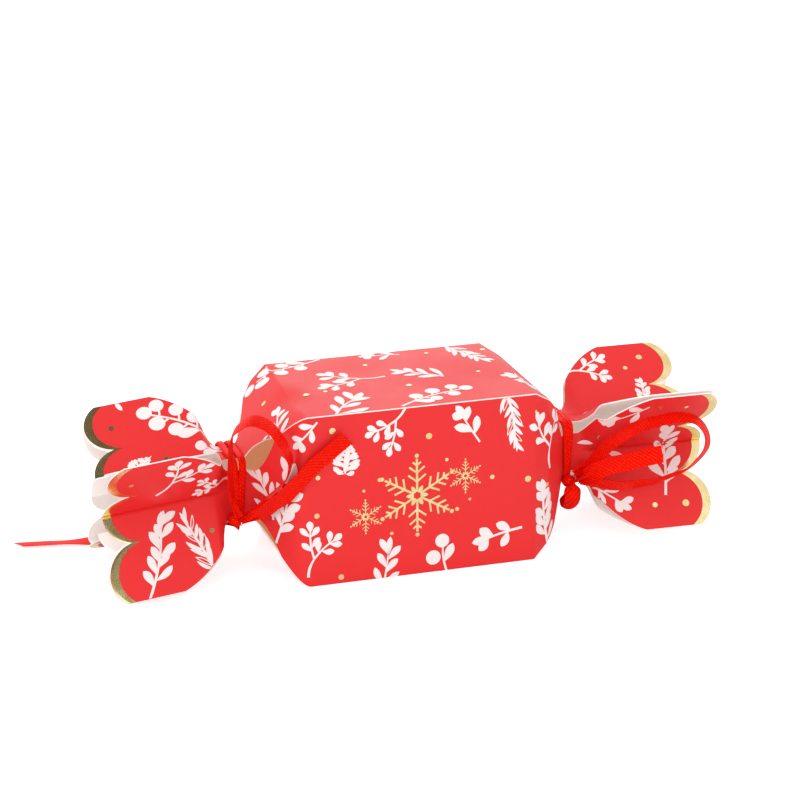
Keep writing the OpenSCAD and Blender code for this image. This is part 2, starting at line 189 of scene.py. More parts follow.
# Sizes of the petals and flares that the frame's boxes don't give. STRIP is the strip in a neck,
# SEAM_END and NARROW_END are shares of a petal's length, and a flare spreads from SPREAD_X.
STRIP_HALF = 6.8 * MM
LOW_CORNER_HALF = 9.9 * MM
SEAM_END_SHARE = 0.46
NARROW_END_SHARE = 0.82
SPREAD_X = NECK_X + 5 * MM
SPREAD_L = 19.5 * MM
WIDEN_POWER = 0.66
CORNER_GAP = 3 * MM
FOLD_X = SPREAD_X + SPREAD_L
LOBE_PITCH = 0.35 * 2 * HALF_W
LOBE_R = 0.512 * LOBE_PITCH
LOBE_X = LOBE_TIP_X - LOBE_R
OPEN_SHARE = 0.3
FOLD_ANGLE = math.acos(NECK_R / HALF_W / math.sqrt(2)) - math.pi / 4
MITRE = CARD_T / math.tan(math.pi / 4 - FOLD_ANGLE)
MITRE_L = 5 * MM
SWAY = math.radians(6)
DROOP = {"left": math.radians(3.5), "right": math.radians(-1.5)}
# Opening of each flare panel's two halves: the one nearer the front or the floor, then the other
FLARE_ANGLES = {
    ("left", FRONT): (FOLD_ANGLE, math.radians(41)),
    ("left", TOP): (math.radians(23), FOLD_ANGLE),
    ("right", FRONT): (FOLD_ANGLE, math.radians(39)),
    ("right", TOP): (math.radians(28), FOLD_ANGLE),
}

# Finish of the card. The folds' rounding runs out before the seam's end, and a cut edge drops by a
# share of its round.
CORNER_R = 0.5 * MM
CORNER_FADE_SHARE = 0.12
CUT_EDGE_ROUND = 0.12 * MM
CUT_EDGE_DROP = 0.4
CREASE_DEPTH = 0.3 * MM
CREASE_HALF = 0.32 * MM
FOIL_W = 2.9 * MM
FOIL_T = 0.03 * MM
INK_T = 0.03 * MM

RIBBON_W = 6 * MM
RIBBON_T = 0.22 * MM

# Camera, fitted to the corners of the barrel
CAMERA_AZIMUTH = math.radians(-16.732)
CAMERA_ELEVATION = math.radians(18.681)
CAMERA_ROLL = math.radians(-0.476)
CAMERA_DISTANCE = 862.8 * MM
CAMERA_SIDE = 0.63 * MM
CAMERA_RISE = 21.02 * MM
CAMERA_LENS_MM = 112.5
CAMERA_SENSOR_MM = 36


def make_camera():
    sin_a, cos_a = math.sin(CAMERA_AZIMUTH), math.cos(CAMERA_AZIMUTH)
    back = Vector((
        sin_a * math.cos(CAMERA_ELEVATION),
        -cos_a * math.cos(CAMERA_ELEVATION),
        math.sin(CAMERA_ELEVATION),
    ))
    level = Vector((cos_a, sin_a, 0))
    rise = back.cross(level)
    right = math.cos(CAMERA_ROLL) * level + math.sin(CAMERA_ROLL) * rise
    up = back.cross(right)
    place = Vector((0, 0, AXIS_Z)) + CAMERA_DISTANCE * back + CAMERA_SIDE * right + CAMERA_RISE * up
    data = bpy.data.cameras.new("camera")
    data.lens = CAMERA_LENS_MM
    data.sensor_width = CAMERA_SENSOR_MM
    data.clip_start = 0.01
    camera = bpy.data.objects.new("camera", data)
    scene.collection.objects.link(camera)
    camera.matrix_world = [
        [right.x, up.x, back.x, place.x],
        [right.y, up.y, back.y, place.y],
        [right.z, up.z, back.z, place.z],
        [0, 0, 0, 1],
    ]
    camera.matrix_world.transpose()
    scene.camera = camera


make_camera()


# Materials
def new_material(name):
    material = bpy.data.materials.new(name)
    material.use_nodes = True
    tree = material.node_tree
    return material, tree, tree.nodes["Principled BSDF"]


def set_inputs(tree, node, inputs):
    """Links each input that is given a socket, and sets the others."""
    for name, value in inputs.items():
        if isinstance(value, bpy.types.NodeSocket):
            tree.links.new(value, node.inputs[name])
        else:
            node.inputs[name].default_value = value


def add_node(tree, kind, inputs=None, **settings):
    node = tree.nodes.new(kind)
    for name, value in settings.items():
        setattr(node, name, value)
    set_inputs(tree, node, inputs or {})
    return node


def two_tones(tree, mask, low, high, places=(0.0, 1.0)):
    """A colour that goes from low to high as the mask grows from one place to the other."""
    ramp = add_node(tree, "ShaderNodeValToRGB", {"Fac": mask})
    for element, place, color in zip(ramp.color_ramp.elements, places, (low, high)):
        element.position = place
        element.color = (*color, 1)
    return ramp.outputs["Color"]


def noise(tree, place, scale, detail=2.0, roughness=0.5):
    return add_node(tree, "ShaderNodeTexNoise", {
        "Vector": place, "Scale": scale, "Detail": detail, "Roughness": roughness}).outputs["Fac"]


def calculated(tree, operation, first, second):
    return add_node(tree, "ShaderNodeMath", {0: first, 1: second}, operation=operation).outputs[0]


def between(tree, value, low, high, start=0.0, end=1.0):
    """Goes from low to high as the value goes from start to end."""
    return add_node(tree, "ShaderNodeMapRange", {
        "Value": value, "From Min": start, "From Max": end, "To Min": low, "To Max": high}).outputs[0]


def bumps(tree, height, strength, distance):
    return add_node(tree, "ShaderNodeBump", {
        "Height": height, "Strength": strength, "Distance": distance}).outputs["Normal"]


def new_group(name, inputs, outputs):
    """A shader node group with named inputs and outputs, ready for its nodes."""
    tree = bpy.data.node_groups.new(name, "ShaderNodeTree")
    for label, (kind, value) in inputs.items():
        socket = tree.interface.new_socket(label, in_out="INPUT", socket_type=kind)
        socket.default_value = value
    for label, kind in outputs.items():
        tree.interface.new_socket(label, in_out="OUTPUT", socket_type=kind)
    return tree, tree.nodes.new("NodeGroupInput"), tree.nodes.new("NodeGroupOutput")


def make_paper_group():
    """Paper fibres and mottling on Object coordinates, for card, ink, slips and tissue."""
    tree, given, result = new_group(
        "paper_grain",
        {
            "Color": ("NodeSocketColor", (0.8, 0.8, 0.8, 1)),
            "Fleck Color": ("NodeSocketColor", (0.7, 0.7, 0.7, 1)),
            "Fleck": ("NodeSocketFloat", 0.2),
            "Roughness": ("NodeSocketFloat", 0.5),
            "Grain Scale": ("NodeSocketFloat", 1400),
            "Relief": ("NodeSocketFloat", 0.5),
        },
        {"Color": "NodeSocketColor", "Roughness": "NodeSocketFloat", "Height": "NodeSocketFloat"},
    )
    place = add_node(tree, "ShaderNodeTexCoord").outputs["Object"]
    fine = noise(tree, place, given.outputs["Grain Scale"], 4.0, 0.7)
    broad = noise(tree, place, 45.0, 3.0)
    flecks = calculated(tree, "MULTIPLY", calculated(tree, "MULTIPLY", fine, broad), given.outputs["Fleck"])
    color = add_node(tree, "ShaderNodeMix", {
        "Factor": flecks, 6: given.outputs["Color"], 7: given.outputs["Fleck Color"]}, data_type="RGBA")
    set_inputs(tree, result, {
        "Color": color.outputs[2],
        "Roughness": calculated(tree, "ADD", between(tree, broad, -0.05, 0.05, 0.3, 0.7),
                                given.outputs["Roughness"]),
        "Height": calculated(tree, "MULTIPLY", fine, given.outputs["Relief"]),
    })
    return tree


paper_grain = make_paper_group()


def paper_material(name, color, fleck_color, fleck=0.4, roughness=0.8, scale=1000,
                   bump=0.04 * MM, specular=0.3, glow=0.0, glow_color=(1, 1, 1)):
    """Card or paper. A glow is painted light: it stands for the light that comes through it where it is thin."""
    material, tree, shader = new_material(name)
    grain = add_node(tree, "ShaderNodeGroup", {
        "Color": (*color, 1),
        "Fleck Color": (*fleck_color, 1),
        "Fleck": fleck,
        "Roughness": roughness,
        "Grain Scale": scale,
    }, node_tree=paper_grain)
    set_inputs(tree, shader, {
        "Base Color": grain.outputs["Color"],
        "Roughness": grain.outputs["Roughness"],
        "Normal": bumps(tree, grain.outputs["Height"], 0.6, bump),
        "Specular IOR Level": specular,
        "Emission Color": (*glow_color, 1),
        "Emission Strength": glow,
    })
    return material


def foil_material():
    """Hot-stamped gold foil: a mirror with the card's faint relief in it."""
    material, tree, shader = new_material("gold_foil")
    place = add_node(tree, "ShaderNodeTexCoord").outputs["Object"]
    ripple = noise(tree, place, 260.0)
    set_inputs(tree, shader, {
        "Base Color": two_tones(tree, ripple, (0.80, 0.62, 0.26), (0.95, 0.80, 0.44), (0.3, 0.7)),
        "Roughness": between(tree, noise(tree, place, 2600.0), 0.12, 0.3),
        "Normal": bumps(tree, ripple, 0.35, 0.06 * MM),
        "Metallic": 1,
    })
    return material


def satin_material():
    """Woven satin ribbon on its own UV map: u across the ribbon, v along it, both in ribbon widths."""
    material, tree, shader = new_material("satin_ribbon")
    place = add_node(tree, "ShaderNodeTexCoord").outputs["UV"]
    twill = add_node(tree, "ShaderNodeTexWave",
                     {"Vector": place, "Scale": 2.5, "Distortion": 1.4, "Detail": 2.0, "Detail Scale": 3.0},
                     wave_type="BANDS", bands_direction="DIAGONAL")
    warp = add_node(tree, "ShaderNodeTexWave",
                    {"Vector": place, "Scale": 3.2, "Distortion": 0.6, "Detail": 1.0},
                    wave_type="BANDS", bands_direction="X")
    weave = calculated(tree, "MULTIPLY", twill.outputs["Fac"], warp.outputs["Fac"])
    # Painted highlight: in patches of noise, the weave's threads mix an orange highlight colour into the base colour.
    # The same mask also sets roughness and relief.
    painted_glint_patches = between(tree, noise(tree, place, 16.0), 0.12, 1.0, 0.46, 0.62)
    weave_and_painted_glints = calculated(tree, "MULTIPLY", weave, painted_glint_patches)
    slubs = two_tones(tree, noise(tree, place, 7.0, 5.0, 0.65), (0.78, 0.0, 0.001), (1.0, 0.001, 0.001),
                      (0.35, 0.68))
    # The orange is the painted highlight colour; the reds of the slubs are the ribbon's own tone.
    color = add_node(tree, "ShaderNodeMix", {"Factor": weave_and_painted_glints, 6: slubs, 7: (1.0, 0.11, 0.025, 1)},
                     data_type="RGBA")
    set_inputs(tree, shader, {
        "Base Color": color.outputs[2],
        "Roughness": between(tree, weave_and_painted_glints, 0.42, 0.25),
        "Normal": bumps(tree, weave_and_painted_glints, 0.8, 0.09 * MM),
        "Metallic": 0.3,
        "Specular IOR Level": 0.2,
        "Specular Tint": (1.0, 0.12, 0.04, 1),
    })
    return material


def painted_wood_material():
    """Gloss paint with faint turning lines."""
    material, tree, shader = new_material("painted_wood")
    place = add_node(tree, "ShaderNodeTexCoord").outputs["Object"]
    lines = add_node(tree, "ShaderNodeTexWave", {"Vector": place, "Scale": 300.0, "Distortion": 1.0},
                     wave_type="RINGS")
    set_inputs(tree, shader, {
        "Base Color": two_tones(tree, lines.outputs["Fac"], (0.05, 0.16, 0.55), (0.08, 0.24, 0.68)),
        "Normal": bumps(tree, lines.outputs["Fac"], 0.3, 0.04 * MM),
        "Roughness": 0.3,
        "Coat Weight": 0.5,
    })
    return material


printed_red = paper_material("printed_red", (0.84, 0.026, 0.027), (0.77, 0.013, 0.016), fleck=0.5,
                             roughness=0.42, scale=1400, bump=0.02 * MM, specular=0.28)
white_ink = paper_material("white_ink", (0.92, 0.89, 0.87), (0.86, 0.82, 0.80), fleck=0.3,
                           roughness=0.55, scale=1400, bump=0.02 * MM)
# Painted light: the warm glow on the card's inside stands for light that comes through the thin card.
card_inside = paper_material("card_inside", (0.97, 0.91, 0.88), (0.93, 0.86, 0.82), roughness=0.75,
                             scale=900, glow=0.055, glow_color=(1.0, 0.84, 0.76))
# Painted light: the card is white inside, and its tan base colour and orange glow stand for warm light that comes
# through the red card and bounces inside the barrel.
barrel_inside = paper_material("barrel_inside", (0.93, 0.70, 0.53), (0.88, 0.63, 0.46),
                               scale=900, glow=0.13, glow_color=(1.0, 0.50, 0.28))
# Painted light: the glow brightens the cut edges where they lie in shade.
card_edge_painted_glow = paper_material("card_edge_painted_glow", (0.95, 0.92, 0.89), (0.87, 0.82, 0.78), scale=2600,
                           bump=0.03 * MM, glow=0.08)
gold_foil = foil_material()
satin_ribbon = satin_material()
snap_card = paper_material("snap_card", (0.78, 0.58, 0.40), (0.64, 0.46, 0.30), fleck=0.7,
                           roughness=0.85, scale=1100, bump=0.06 * MM)
sleeve_paper = paper_material("sleeve_paper", (0.85, 0.83, 0.78), (0.72, 0.69, 0.62), fleck=0.5)
crown_tissue = paper_material("crown_tissue", (0.85, 0.52, 0.08), (0.72, 0.40, 0.05), fleck=0.6,
                              roughness=0.7, scale=500, bump=0.12 * MM)
slip_paper = paper_material("slip_paper", (0.90, 0.88, 0.82), (0.80, 0.77, 0.70), roughness=0.75,
                            bump=0.03 * MM)
painted_wood = painted_wood_material()


# Making a mesh: a grid is added and laid on a formula, by row and column
def deselect():
    bpy.ops.object.select_all(action="DESELECT")


def activate(piece):
    deselect()
    piece.select_set(True)
    bpy.context.view_layer.objects.active = piece


def laid_grid(name, rows, columns, place):
    """A grid of rows by columns points, each moved to place(row, column)."""
    deselect()
    bpy.ops.mesh.primitive_grid_add(x_subdivisions=columns - 1, y_subdivisions=rows - 1, size=2)
    piece = bpy.context.object
    piece.name = name
    piece.data.name = name
    for vertex in piece.data.vertices:
        column = round((vertex.co.x + 1) / 2 * (columns - 1))
        row = round((vertex.co.y + 1) / 2 * (rows - 1))
        vertex.co = place(row, column)
    return piece


def apply_modifier(piece, kind, **settings):
    activate(piece)
    modifier = piece.modifiers.new(kind.lower(), kind)
    for name, value in settings.items():
        setattr(modifier, name, value)
    bpy.ops.object.modifier_apply(modifier=modifier.name)


def give_material(piece, *materials):
    piece.data.materials.clear()
    for material in materials:
        piece.data.materials.append(material)


def join_pieces(pieces):
    """Joins the pieces into the first of them."""
    deselect()
    for piece in pieces:
        piece.select_set(True)
    bpy.context.view_layer.objects.active = pieces[0]
    bpy.ops.object.join()


def select_open_edges():
    bpy.ops.mesh.select_all(action="DESELECT")
    bpy.ops.mesh.select_non_manifold(extend=False, use_wire=False, use_multi_face=False,
                                     use_non_contiguous=False, use_verts=False)


def leave_edit_mode():
    """Turns all faces outwards first."""
    bpy.ops.mesh.select_all(action="SELECT")
    bpy.ops.mesh.normals_make_consistent(inside=False)
    bpy.ops.object.mode_set(mode="OBJECT")


def finish_piece(piece, body, slot, nodes=(), angle=60):
    """Smooths a piece up to that angle, and says what it rides on, its finish and what it replaces."""
    activate(piece)
    bpy.ops.object.shade_smooth_by_angle(angle=math.radians(angle))
    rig.ride(piece, body)
    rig.slot(piece, slot)
    if nodes:
        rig.replaces(piece, *nodes)


# Ribbon
def finish_ribbon(piece, end, name, angle=60):
    give_material(piece, satin_ribbon)
    finish_piece(piece, end + "_end", "satin_ribbon", [name], angle)


# Routes are measured from the middle of their knot, with points chosen one by one
def route(points):
    return [Vector(p) * MM for p in points]


LEFT_LOOP_ROUTE = route([
    (0, -3, 2), (-2, -4, 8), (-3, -4, 16), (-3, -5, 24), (-3, -8, 32), (-1, -10, 36), (3, -13, 39),
    (8, -15, 37), (11, -17, 33), (13, -19, 29), (14, -19, 25), (13, -17, 19), (10, -14, 14),
    (7, -9, 9), (4, -4, 4), (2, -2, 1),
])
LEFT_FRONT_TAIL_ROUTE = route([
    (1, -3, 0), (4, -7, 3), (7, -10, 6), (9, -13, 9), (12, -16, 12), (14, -18, 15), (17, -20, 19),
    (21, -20, 23), (25, -20, 26), (29, -20, 29), (33, -20, 32),
])
LEFT_BACK_TAIL_ROUTE = route([
    (0, -1, -2.3), (-0.5, 3, -3), (-1.5, 8, -4.1), (-3, 14, -7), (-5, 21, -12), (-8, 28, -16),
    (-12, 34, -18.2), (-18, 38, -19), (-25, 40.5, -19.2), (-33, 42, -19.2), (-41, 43.5, -19.2),
    (-50, 45, -19.2), (-58, 46.5, -19.2), (-67.5, 48, -19.2),
])
RIGHT_LOOP_ROUTE = route([
    (0, -2, 3), (2, -3, 5), (5, -7, 9), (8, -11, 15), (12, -15, 20), (17, -18, 24), (23, -20, 26),
    (29, -21, 27), (35, -21, 26), (39, -21, 23), (41, -21, 19), (41, -21, 15), (39, -20, 11),
    (35, -19, 7), (30, -18, 5), (24, -17, 3), (18, -15, 2), (12, -12, 1), (6, -7, 1), (2, -3, 1),
])
# The way that a ribbon's width lies at each point of its route, where that changes
LEFT_LOOP_GUIDES = [(-0.47, -0.87, -0.09)] * 4 + [(-0.42, -0.82, -0.3)] * 5 + [(-0.47, -0.87, -0.09)] * 7
LEFT_BACK_TAIL_GUIDES = [(0.3, 1, -0.15)] * 7 + [(0.2, 1, 0), (0, 0.98, 0.15), (0, 0.98, 0.2),
                                                (0, 0.98, 0.15)] + [(0.3, 1, -0.15)] * 3
RIGHT_LOOP_GUIDES = [
    (0.1, -0.8, -0.5), (-0.1, -0.8, -0.6), (-0.1, -0.8, -0.6), (-0.1, -0.8, -0.5), (-0.2, -0.9, -0.4),
    (-0.2, -0.9, -0.4), (-0.2, -0.9, -0.3), (-0.1, -1, -0.3), (-0.1, -0.9, -0.3), (-0.4, -0.9, -0.3),
    (-0.6, -0.8, -0.1), (-0.7, -0.7, 0.1), (-0.6, -0.7, 0.3), (-0.5, -0.8, 0.4), (-0.3, -0.8, 0.6),
    (-0.3, -0.7, 0.6), (-0.4, -0.6, 0.7), (-0.4, -0.5, 0.8), (-0.3, -0.3, 0.9), (-0.3, -0.3, 0.9),
]
RIGHT_TAIL_ROUTE = route([
    (0, -3, 0.7), (2, -7, 4), (5, -11, 7), (9, -15, 10), (13, -19, 12), (18, -22, 14), (23.1, -24.6, 15.7),
])
RIGHT_SHORT_LOOP_ROUTE = route([
    (-1, -2, 0), (-1.4, -4, -3), (-1.7, -4.2, -6), (-1.9, -2.4, -8.2), (-2, -0.6, -7), (-2, -0.2, -4),
])

RIBBON_STEPS = 6
RIBBON_COLUMNS = 9
# The share of its width that a ribbon keeps beside a knot, how deep it folds there in ribbon widths,
# and how far from the knot it has opened
GATHER_SHARE = 0.38
GATHER_FOLD = 0.22
GATHER_L = 11 * MM


def knot_middle(end):
    low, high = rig.box(end + "_ribbon_knot")
    return (low + high) / 2


def smooth_line(points, steps):
    """A Catmull-Rom line through the points, with that many steps between two of them."""
    spare = [2 * points[0] - points[1], *points, 2 * points[-1] - points[-2]]
    line = []
    for a, b, c, d in zip(spare, spare[1:], spare[2:], spare[3:]):
        for k in range(steps):
            t = k / steps
            line.append(0.5 * (2 * b + (c - a) * t + (2 * a - 5 * b + 4 * c - d) * t * t
                               + (3 * b - a - 3 * c + d) * t ** 3))
    line.append(points[-1].copy())
    return line


def distances(line):
    """How far along the line each of its points lies."""
    total = [0.0]
    for a, b in zip(line, line[1:]):
        total.append(total[-1] + (b - a).length)
    return total


def smoothstep(t):
    t = min(1, max(0, t))
    return t * t * (3 - 2 * t)


def ribbon_frames(line, guides):
    """Along, across and out vectors at each point of the line. The guides are the ways the width lies."""
    frames = []
    last = len(line) - 1
    for i, guide in enumerate(guides):
        along = (line[min(i + 1, last)] - line[max(i - 1, 0)]).normalized()
        across = (guide - guide.dot(along) * along).normalized()
        frames.append((along, across, along.cross(across)))
    return frames


def ribbon_piece(end, word, points, guides, far_end, tip_slant, cup, gather_l=GATHER_L):
    """A flat ribbon along a route from the knot, drawn into folds where it meets the knot."""
    name = f"{end}_ribbon_{word}"
    middle = knot_middle(end)
    line = smooth_line([middle + p for p in points], RIBBON_STEPS)
    along_l = distances(line)
    total = along_l[-1]
    if len(guides) == 1:
        guides = guides * len(points)
    frames = ribbon_frames(line, smooth_line([Vector(g) for g in guides], RIBBON_STEPS))

    def place(row, column):
        share = column / (RIBBON_COLUMNS - 1) - 0.5
        near = along_l[row] if far_end == "bare" else min(along_l[row], total - along_l[row])
        open_share = smoothstep(near / gather_l)
        width = RIBBON_W * (GATHER_SHARE + (1 - GATHER_SHARE) * open_share)
        fold = RIBBON_W * GATHER_FOLD * (1 - open_share) * math.cos(3 * math.pi * share)
        curl = RIBBON_W * cup * (4 * share * share - 1)
        along, across, out = frames[row]
        end_share = smoothstep(1 - (total - along_l[row]) / RIBBON_W)
        slant = tip_slant * RIBBON_W * share * end_share
        return line[row] + across * share * width + out * (fold + curl) + along * slant

    piece = laid_grid(name, len(line), RIBBON_COLUMNS, place)
    map_ribbon(piece, along_l)
    apply_modifier(piece, "SOLIDIFY", thickness=RIBBON_T, offset=0)
    finish_ribbon(piece, end, name, 50)
    return piece, line


def map_ribbon(piece, along_l):
    """UVs in ribbon widths: u across and v along."""
    uvs = piece.data.uv_layers.active.data
    rows = len(along_l)
    for loop in piece.data.loops:
        u, v = uvs[loop.index].uv
        uvs[loop.index].uv = (u, along_l[round(v * (rows - 1))] / RIBBON_W)


# End, piece, route, guides, length in mm, far end, slant of the cut tip, depth of the cupped section
FREE_RIBBONS = [
    ("left", "loop", LEFT_LOOP_ROUTE, LEFT_LOOP_GUIDES, 94.9, "object", 0, 0.03),
    ("left", "front_tail", LEFT_FRONT_TAIL_ROUTE, [(-0.65, -0.22, 0.72)], 51.1, "bare", -0.08, 0.04),
    ("left", "back_tail", LEFT_BACK_TAIL_ROUTE, LEFT_BACK_TAIL_GUIDES, 99.1, "bare", 0.6, 0.02),
    ("right", "loop", RIGHT_LOOP_ROUTE, RIGHT_LOOP_GUIDES, 113.4, "object", 0, 0.03),
    ("right", "tail", RIGHT_TAIL_ROUTE, [(-0.3, 0.3, 0.9)], 36.2, "bare", 0.1, 0.04),
]
for end, word, points, guides, length, far_end, slant, cup in FREE_RIBBONS:
    piece, line = ribbon_piece(end, word, points, guides, far_end, slant, cup)
    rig.cord(piece, exit=line[0], length=length * MM, diameter=RIBBON_W, far_end=far_end,
            stiffness="medium", lay="loose", path=line)
ribbon_piece("right", "short_loop", RIGHT_SHORT_LOOP_ROUTE, [(1, 0.1, 0)], "object", 0, -0.22, 2.5 * MM)


# Wraps and knots
WRAP_TURNS = 2
WRAP_STEPS = 60
WRAP_POWER = 8
WRAP_START = math.radians(225)
WRAP_CLEARANCE = 0.25 * MM
# How far the strand strays to either side, and how many times in a turn
WRAP_STRAY = 0.25 * MM
WRAP_STRAYS = 1.7
# The share of its pitch that the strand keeps under the knot
WRAP_GATHER = 0.4
STRAND_T = 1.1 * MM
# Strand width and pitch of each wrap, and how far its middle lies off the knot's
WRAPS = {"left": (2.6 * MM, 2.9 * MM, -0.4 * MM), "right": (2.4 * MM, 1.75 * MM, -1.3 * MM)}
STRAND_SIDES = 20
# The share of its width that the strand loses where a turn starts and ends
STRAND_SQUEEZE = 0.15
STRAND_PLEATS = 6
PLEAT_DEPTH = 0.13
# How far the pleats turn, in radians per metre of strand
PLEAT_TWIST = 1.2


def wrap_strand(end):
    """Two turns of pleated ribbon round the collar, a helix on a rounded square."""
    sign = ENDS[end]
    width, pitch, offset = WRAPS[end]
    middle_x = abs(knot_middle(end).x) + offset
    radius = NECK_R + WRAP_CLEARANCE + STRAND_T / 2
    count = WRAP_TURNS * WRAP_STEPS
    line = []
    for k in range(count + 1):
        angle = WRAP_START + 2 * math.pi * k / WRAP_STEPS
        roundness = abs(math.cos(angle)) ** WRAP_POWER + abs(math.sin(angle)) ** WRAP_POWER
        reach = radius / roundness ** (1 / WRAP_POWER)
        stray = WRAP_STRAY * math.sin(WRAP_STRAYS * angle)
        from_knot = min(k % WRAP_STEPS, WRAP_STEPS - k % WRAP_STEPS) / WRAP_STEPS
        gather = WRAP_GATHER + (1 - WRAP_GATHER) * min(1, 4 * from_knot)
        x = middle_x - pitch * gather * (k / WRAP_STEPS - WRAP_TURNS / 2) + stray
        line.append(Vector((sign * x, reach * math.cos(angle), AXIS_Z + reach * math.sin(angle))))
    frames = ribbon_frames(line, [Vector((sign, 0, 0))] * len(line))
    along_l = distances(line)

    def place(row, column):
        turn = 2 * math.pi * column / STRAND_SIDES
        pleat = 1 + PLEAT_DEPTH * math.cos(STRAND_PLEATS * turn + PLEAT_TWIST * along_l[row])
        squeeze = 1 - STRAND_SQUEEZE + STRAND_SQUEEZE * abs(math.sin(math.pi * row / count * WRAP_TURNS))
        _, across, out = frames[row]
        return (line[row] + across * math.cos(turn) * width / 2 * squeeze
                + out * math.sin(turn) * STRAND_T / 2 * pleat)

    name = end + "_ribbon_wrap"
    piece = laid_grid(name, len(line), STRAND_SIDES + 1, place)
    map_ribbon(piece, along_l)
    close_tube(piece, open_ends=True)
    finish_ribbon(piece, end, name)


def close_tube(piece, open_ends):
    """Merges the seam of a rolled grid, and fills its ends where they are open."""
    activate(piece)
    bpy.ops.object.mode_set(mode="EDIT")
    bpy.ops.mesh.select_all(action="SELECT")
    bpy.ops.mesh.remove_doubles(threshold=0.005 * MM)
    if open_ends:
        select_open_edges()
        bpy.ops.mesh.fill()
    leave_edit_mode()


# Each knot is a pleated heart with three bands round it: middle offset, way round and sizes in mm
KNOT_BANDS = [
    ((0, 0, 0), (0.25, 0.1, 1), 4.2, 3.4, 3.0),
    ((0, -0.4, -0.2), (1, 0.15, -0.25), 4.3, 3.2, 2.5),
    ((0.2, -0.3, 0.5), (0.8, 0.2, 0.7), 3.9, 3.1, 2.4),
]
# How far each knot lies off the middle of its place along the cracker
KNOT_SHIFT = {"left": -0.9 * MM, "right": -1.5 * MM}
KNOT_STEPS = 32
KNOT_SIDES = 12
# Ribbon length from one row of a knot to the next, for the weave
KNOT_WEAVE_STEP = 0.4 * MM
BAND_T = 0.7 * MM
BAND_PLEATS = 5
BAND_PLEAT_DEPTH = 0.18
HEART_PLEATS = 6
HEART_PLEAT_DEPTH = 0.07
HEART_SIZE = (4.9 * MM, 3.4 * MM, 4.4 * MM)


def knot_part(name, place):
    part = laid_grid(name, KNOT_STEPS + 1, KNOT_SIDES + 1, place)
    map_ribbon(part, [row * KNOT_WEAVE_STEP for row in range(KNOT_STEPS + 1)])
    return part


def knot_heart(middle):
    def place(row, column):
        turn = 2 * math.pi * row / KNOT_STEPS
        rise = math.pi * column / KNOT_SIDES
        pleat = 1 + HEART_PLEAT_DEPTH * math.cos(HEART_PLEATS * turn + 1.5 * rise)
        return middle + Vector((
            HEART_SIZE[0] / 2 * math.sin(rise) * math.cos(turn) * pleat,
            HEART_SIZE[1] / 2 * math.sin(rise) * math.sin(turn) * pleat,
            HEART_SIZE[2] / 2 * math.cos(rise),
        ))

    return knot_part("heart", place)


def knot_band(centre, around, long_side, short_side, width):
    """An oval band of pleated ribbon whose width lies the way that around points."""
    first = around.orthogonal().normalized()
    second = around.cross(first)
    inset = 1 - BAND_T / (long_side / 2 + short_side / 2)

    def place(row, column):
        turn = 2 * math.pi * row / KNOT_STEPS
        side = 2 * math.pi * column / KNOT_SIDES
        spoke = first * math.cos(turn) + second * math.sin(turn)
        oval = first * math.cos(turn) * (long_side / 2) + second * math.sin(turn) * (short_side / 2)
        pleat = 1 + BAND_PLEAT_DEPTH * math.cos(BAND_PLEATS * side)
        return (centre + oval * inset + around * math.cos(side) * width / 2
                + spoke * math.sin(side) * BAND_T / 2 * pleat)

    return knot_part("band", place)


def knot_piece(end):
    name = end + "_ribbon_knot"
    middle = knot_middle(end)
    shift = Vector((KNOT_SHIFT[end], 0, 0))
    parts = [knot_heart(middle + shift)]
    for offset, way, *sizes in KNOT_BANDS:
        around = Vector(way).normalized()
        around.x *= ENDS[end]
        centre = middle + Vector(offset) * MM + shift
        parts.append(knot_band(centre, around, *[size * MM for size in sizes]))
    join_pieces(parts)
    piece = parts[0]
    piece.name = name
    close_tube(piece, open_ends=False)
    finish_ribbon(piece, end, name)


for end in ENDS:
    wrap_strand(end)
    knot_piece(end)


# The folded card: each panel is laid on these formulas, with depth counted inwards from the print
def panel_point(panel, x, across, out):
    y, z = ((across, out), (-out, across), (-across, -out), (out, -across))[panel]
    return Vector((x, y, AXIS_Z + z))


def petal_bend(t):
    return NECK_R + (HALF_W - NECK_R) * (1 + math.cos(math.pi * t)) / 2


def petal_slope(t):
    return -(HALF_W - NECK_R) * math.pi / 2 * math.sin(math.pi * t) / PETAL_L


PETAL_ROWS = 44
petal_run = distances([Vector((PETAL_L * i / PETAL_ROWS, petal_bend(i / PETAL_ROWS), 0))
                       for i in range(PETAL_ROWS + 1)])
PETAL_RUN_L = petal_run[-1]


def petal_share(run):
    """The share of the petal's length at which a flat distance from the barrel lies."""
    run = min(max(run, 0), PETAL_RUN_L)
    for i in range(PETAL_ROWS):
        if run <= petal_run[i + 1]:
            return (i + (run - petal_run[i]) / (petal_run[i + 1] - petal_run[i])) / PETAL_ROWS
    return 1


def strip_half(panel, side):
    """Half the width of a strip in a neck: the low front corner is cut less deep than the others."""
    return LOW_CORNER_HALF if (panel, side) in ((FRONT, -1), (BOTTOM, 1)) else STRIP_HALF


def petal_half(panel, side, t):
    """Half the width of a petal at its edge."""
    if t <= SEAM_END_SHARE:
        return petal_bend(t)
    u = min(1, (t - SEAM_END_SHARE) / (NARROW_END_SHARE - SEAM_END_SHARE))
    strip = strip_half(panel, side)
    return min(petal_bend(t), strip + (petal_bend(SEAM_END_SHARE) - strip) * (1 - u) ** 2)


def corner_kind(panel, side):
    """The seam's top edge lies over the front panel's; the other corners are folds."""
    if panel == TOP and side < 0:
        return "over"
    if panel == FRONT and side > 0:
        return "under"
    return "fold"


def barrel_half(panel, side, along):
    """How far a barrel panel reaches to that side, at a flat distance along from the middle."""
    t = petal_share(abs(along) - BARREL_END)
    half = petal_half(panel, side, t)
    if corner_kind(panel, side) == "under" and t <= SEAM_END_SHARE:
        half -= CARD_T
    return half


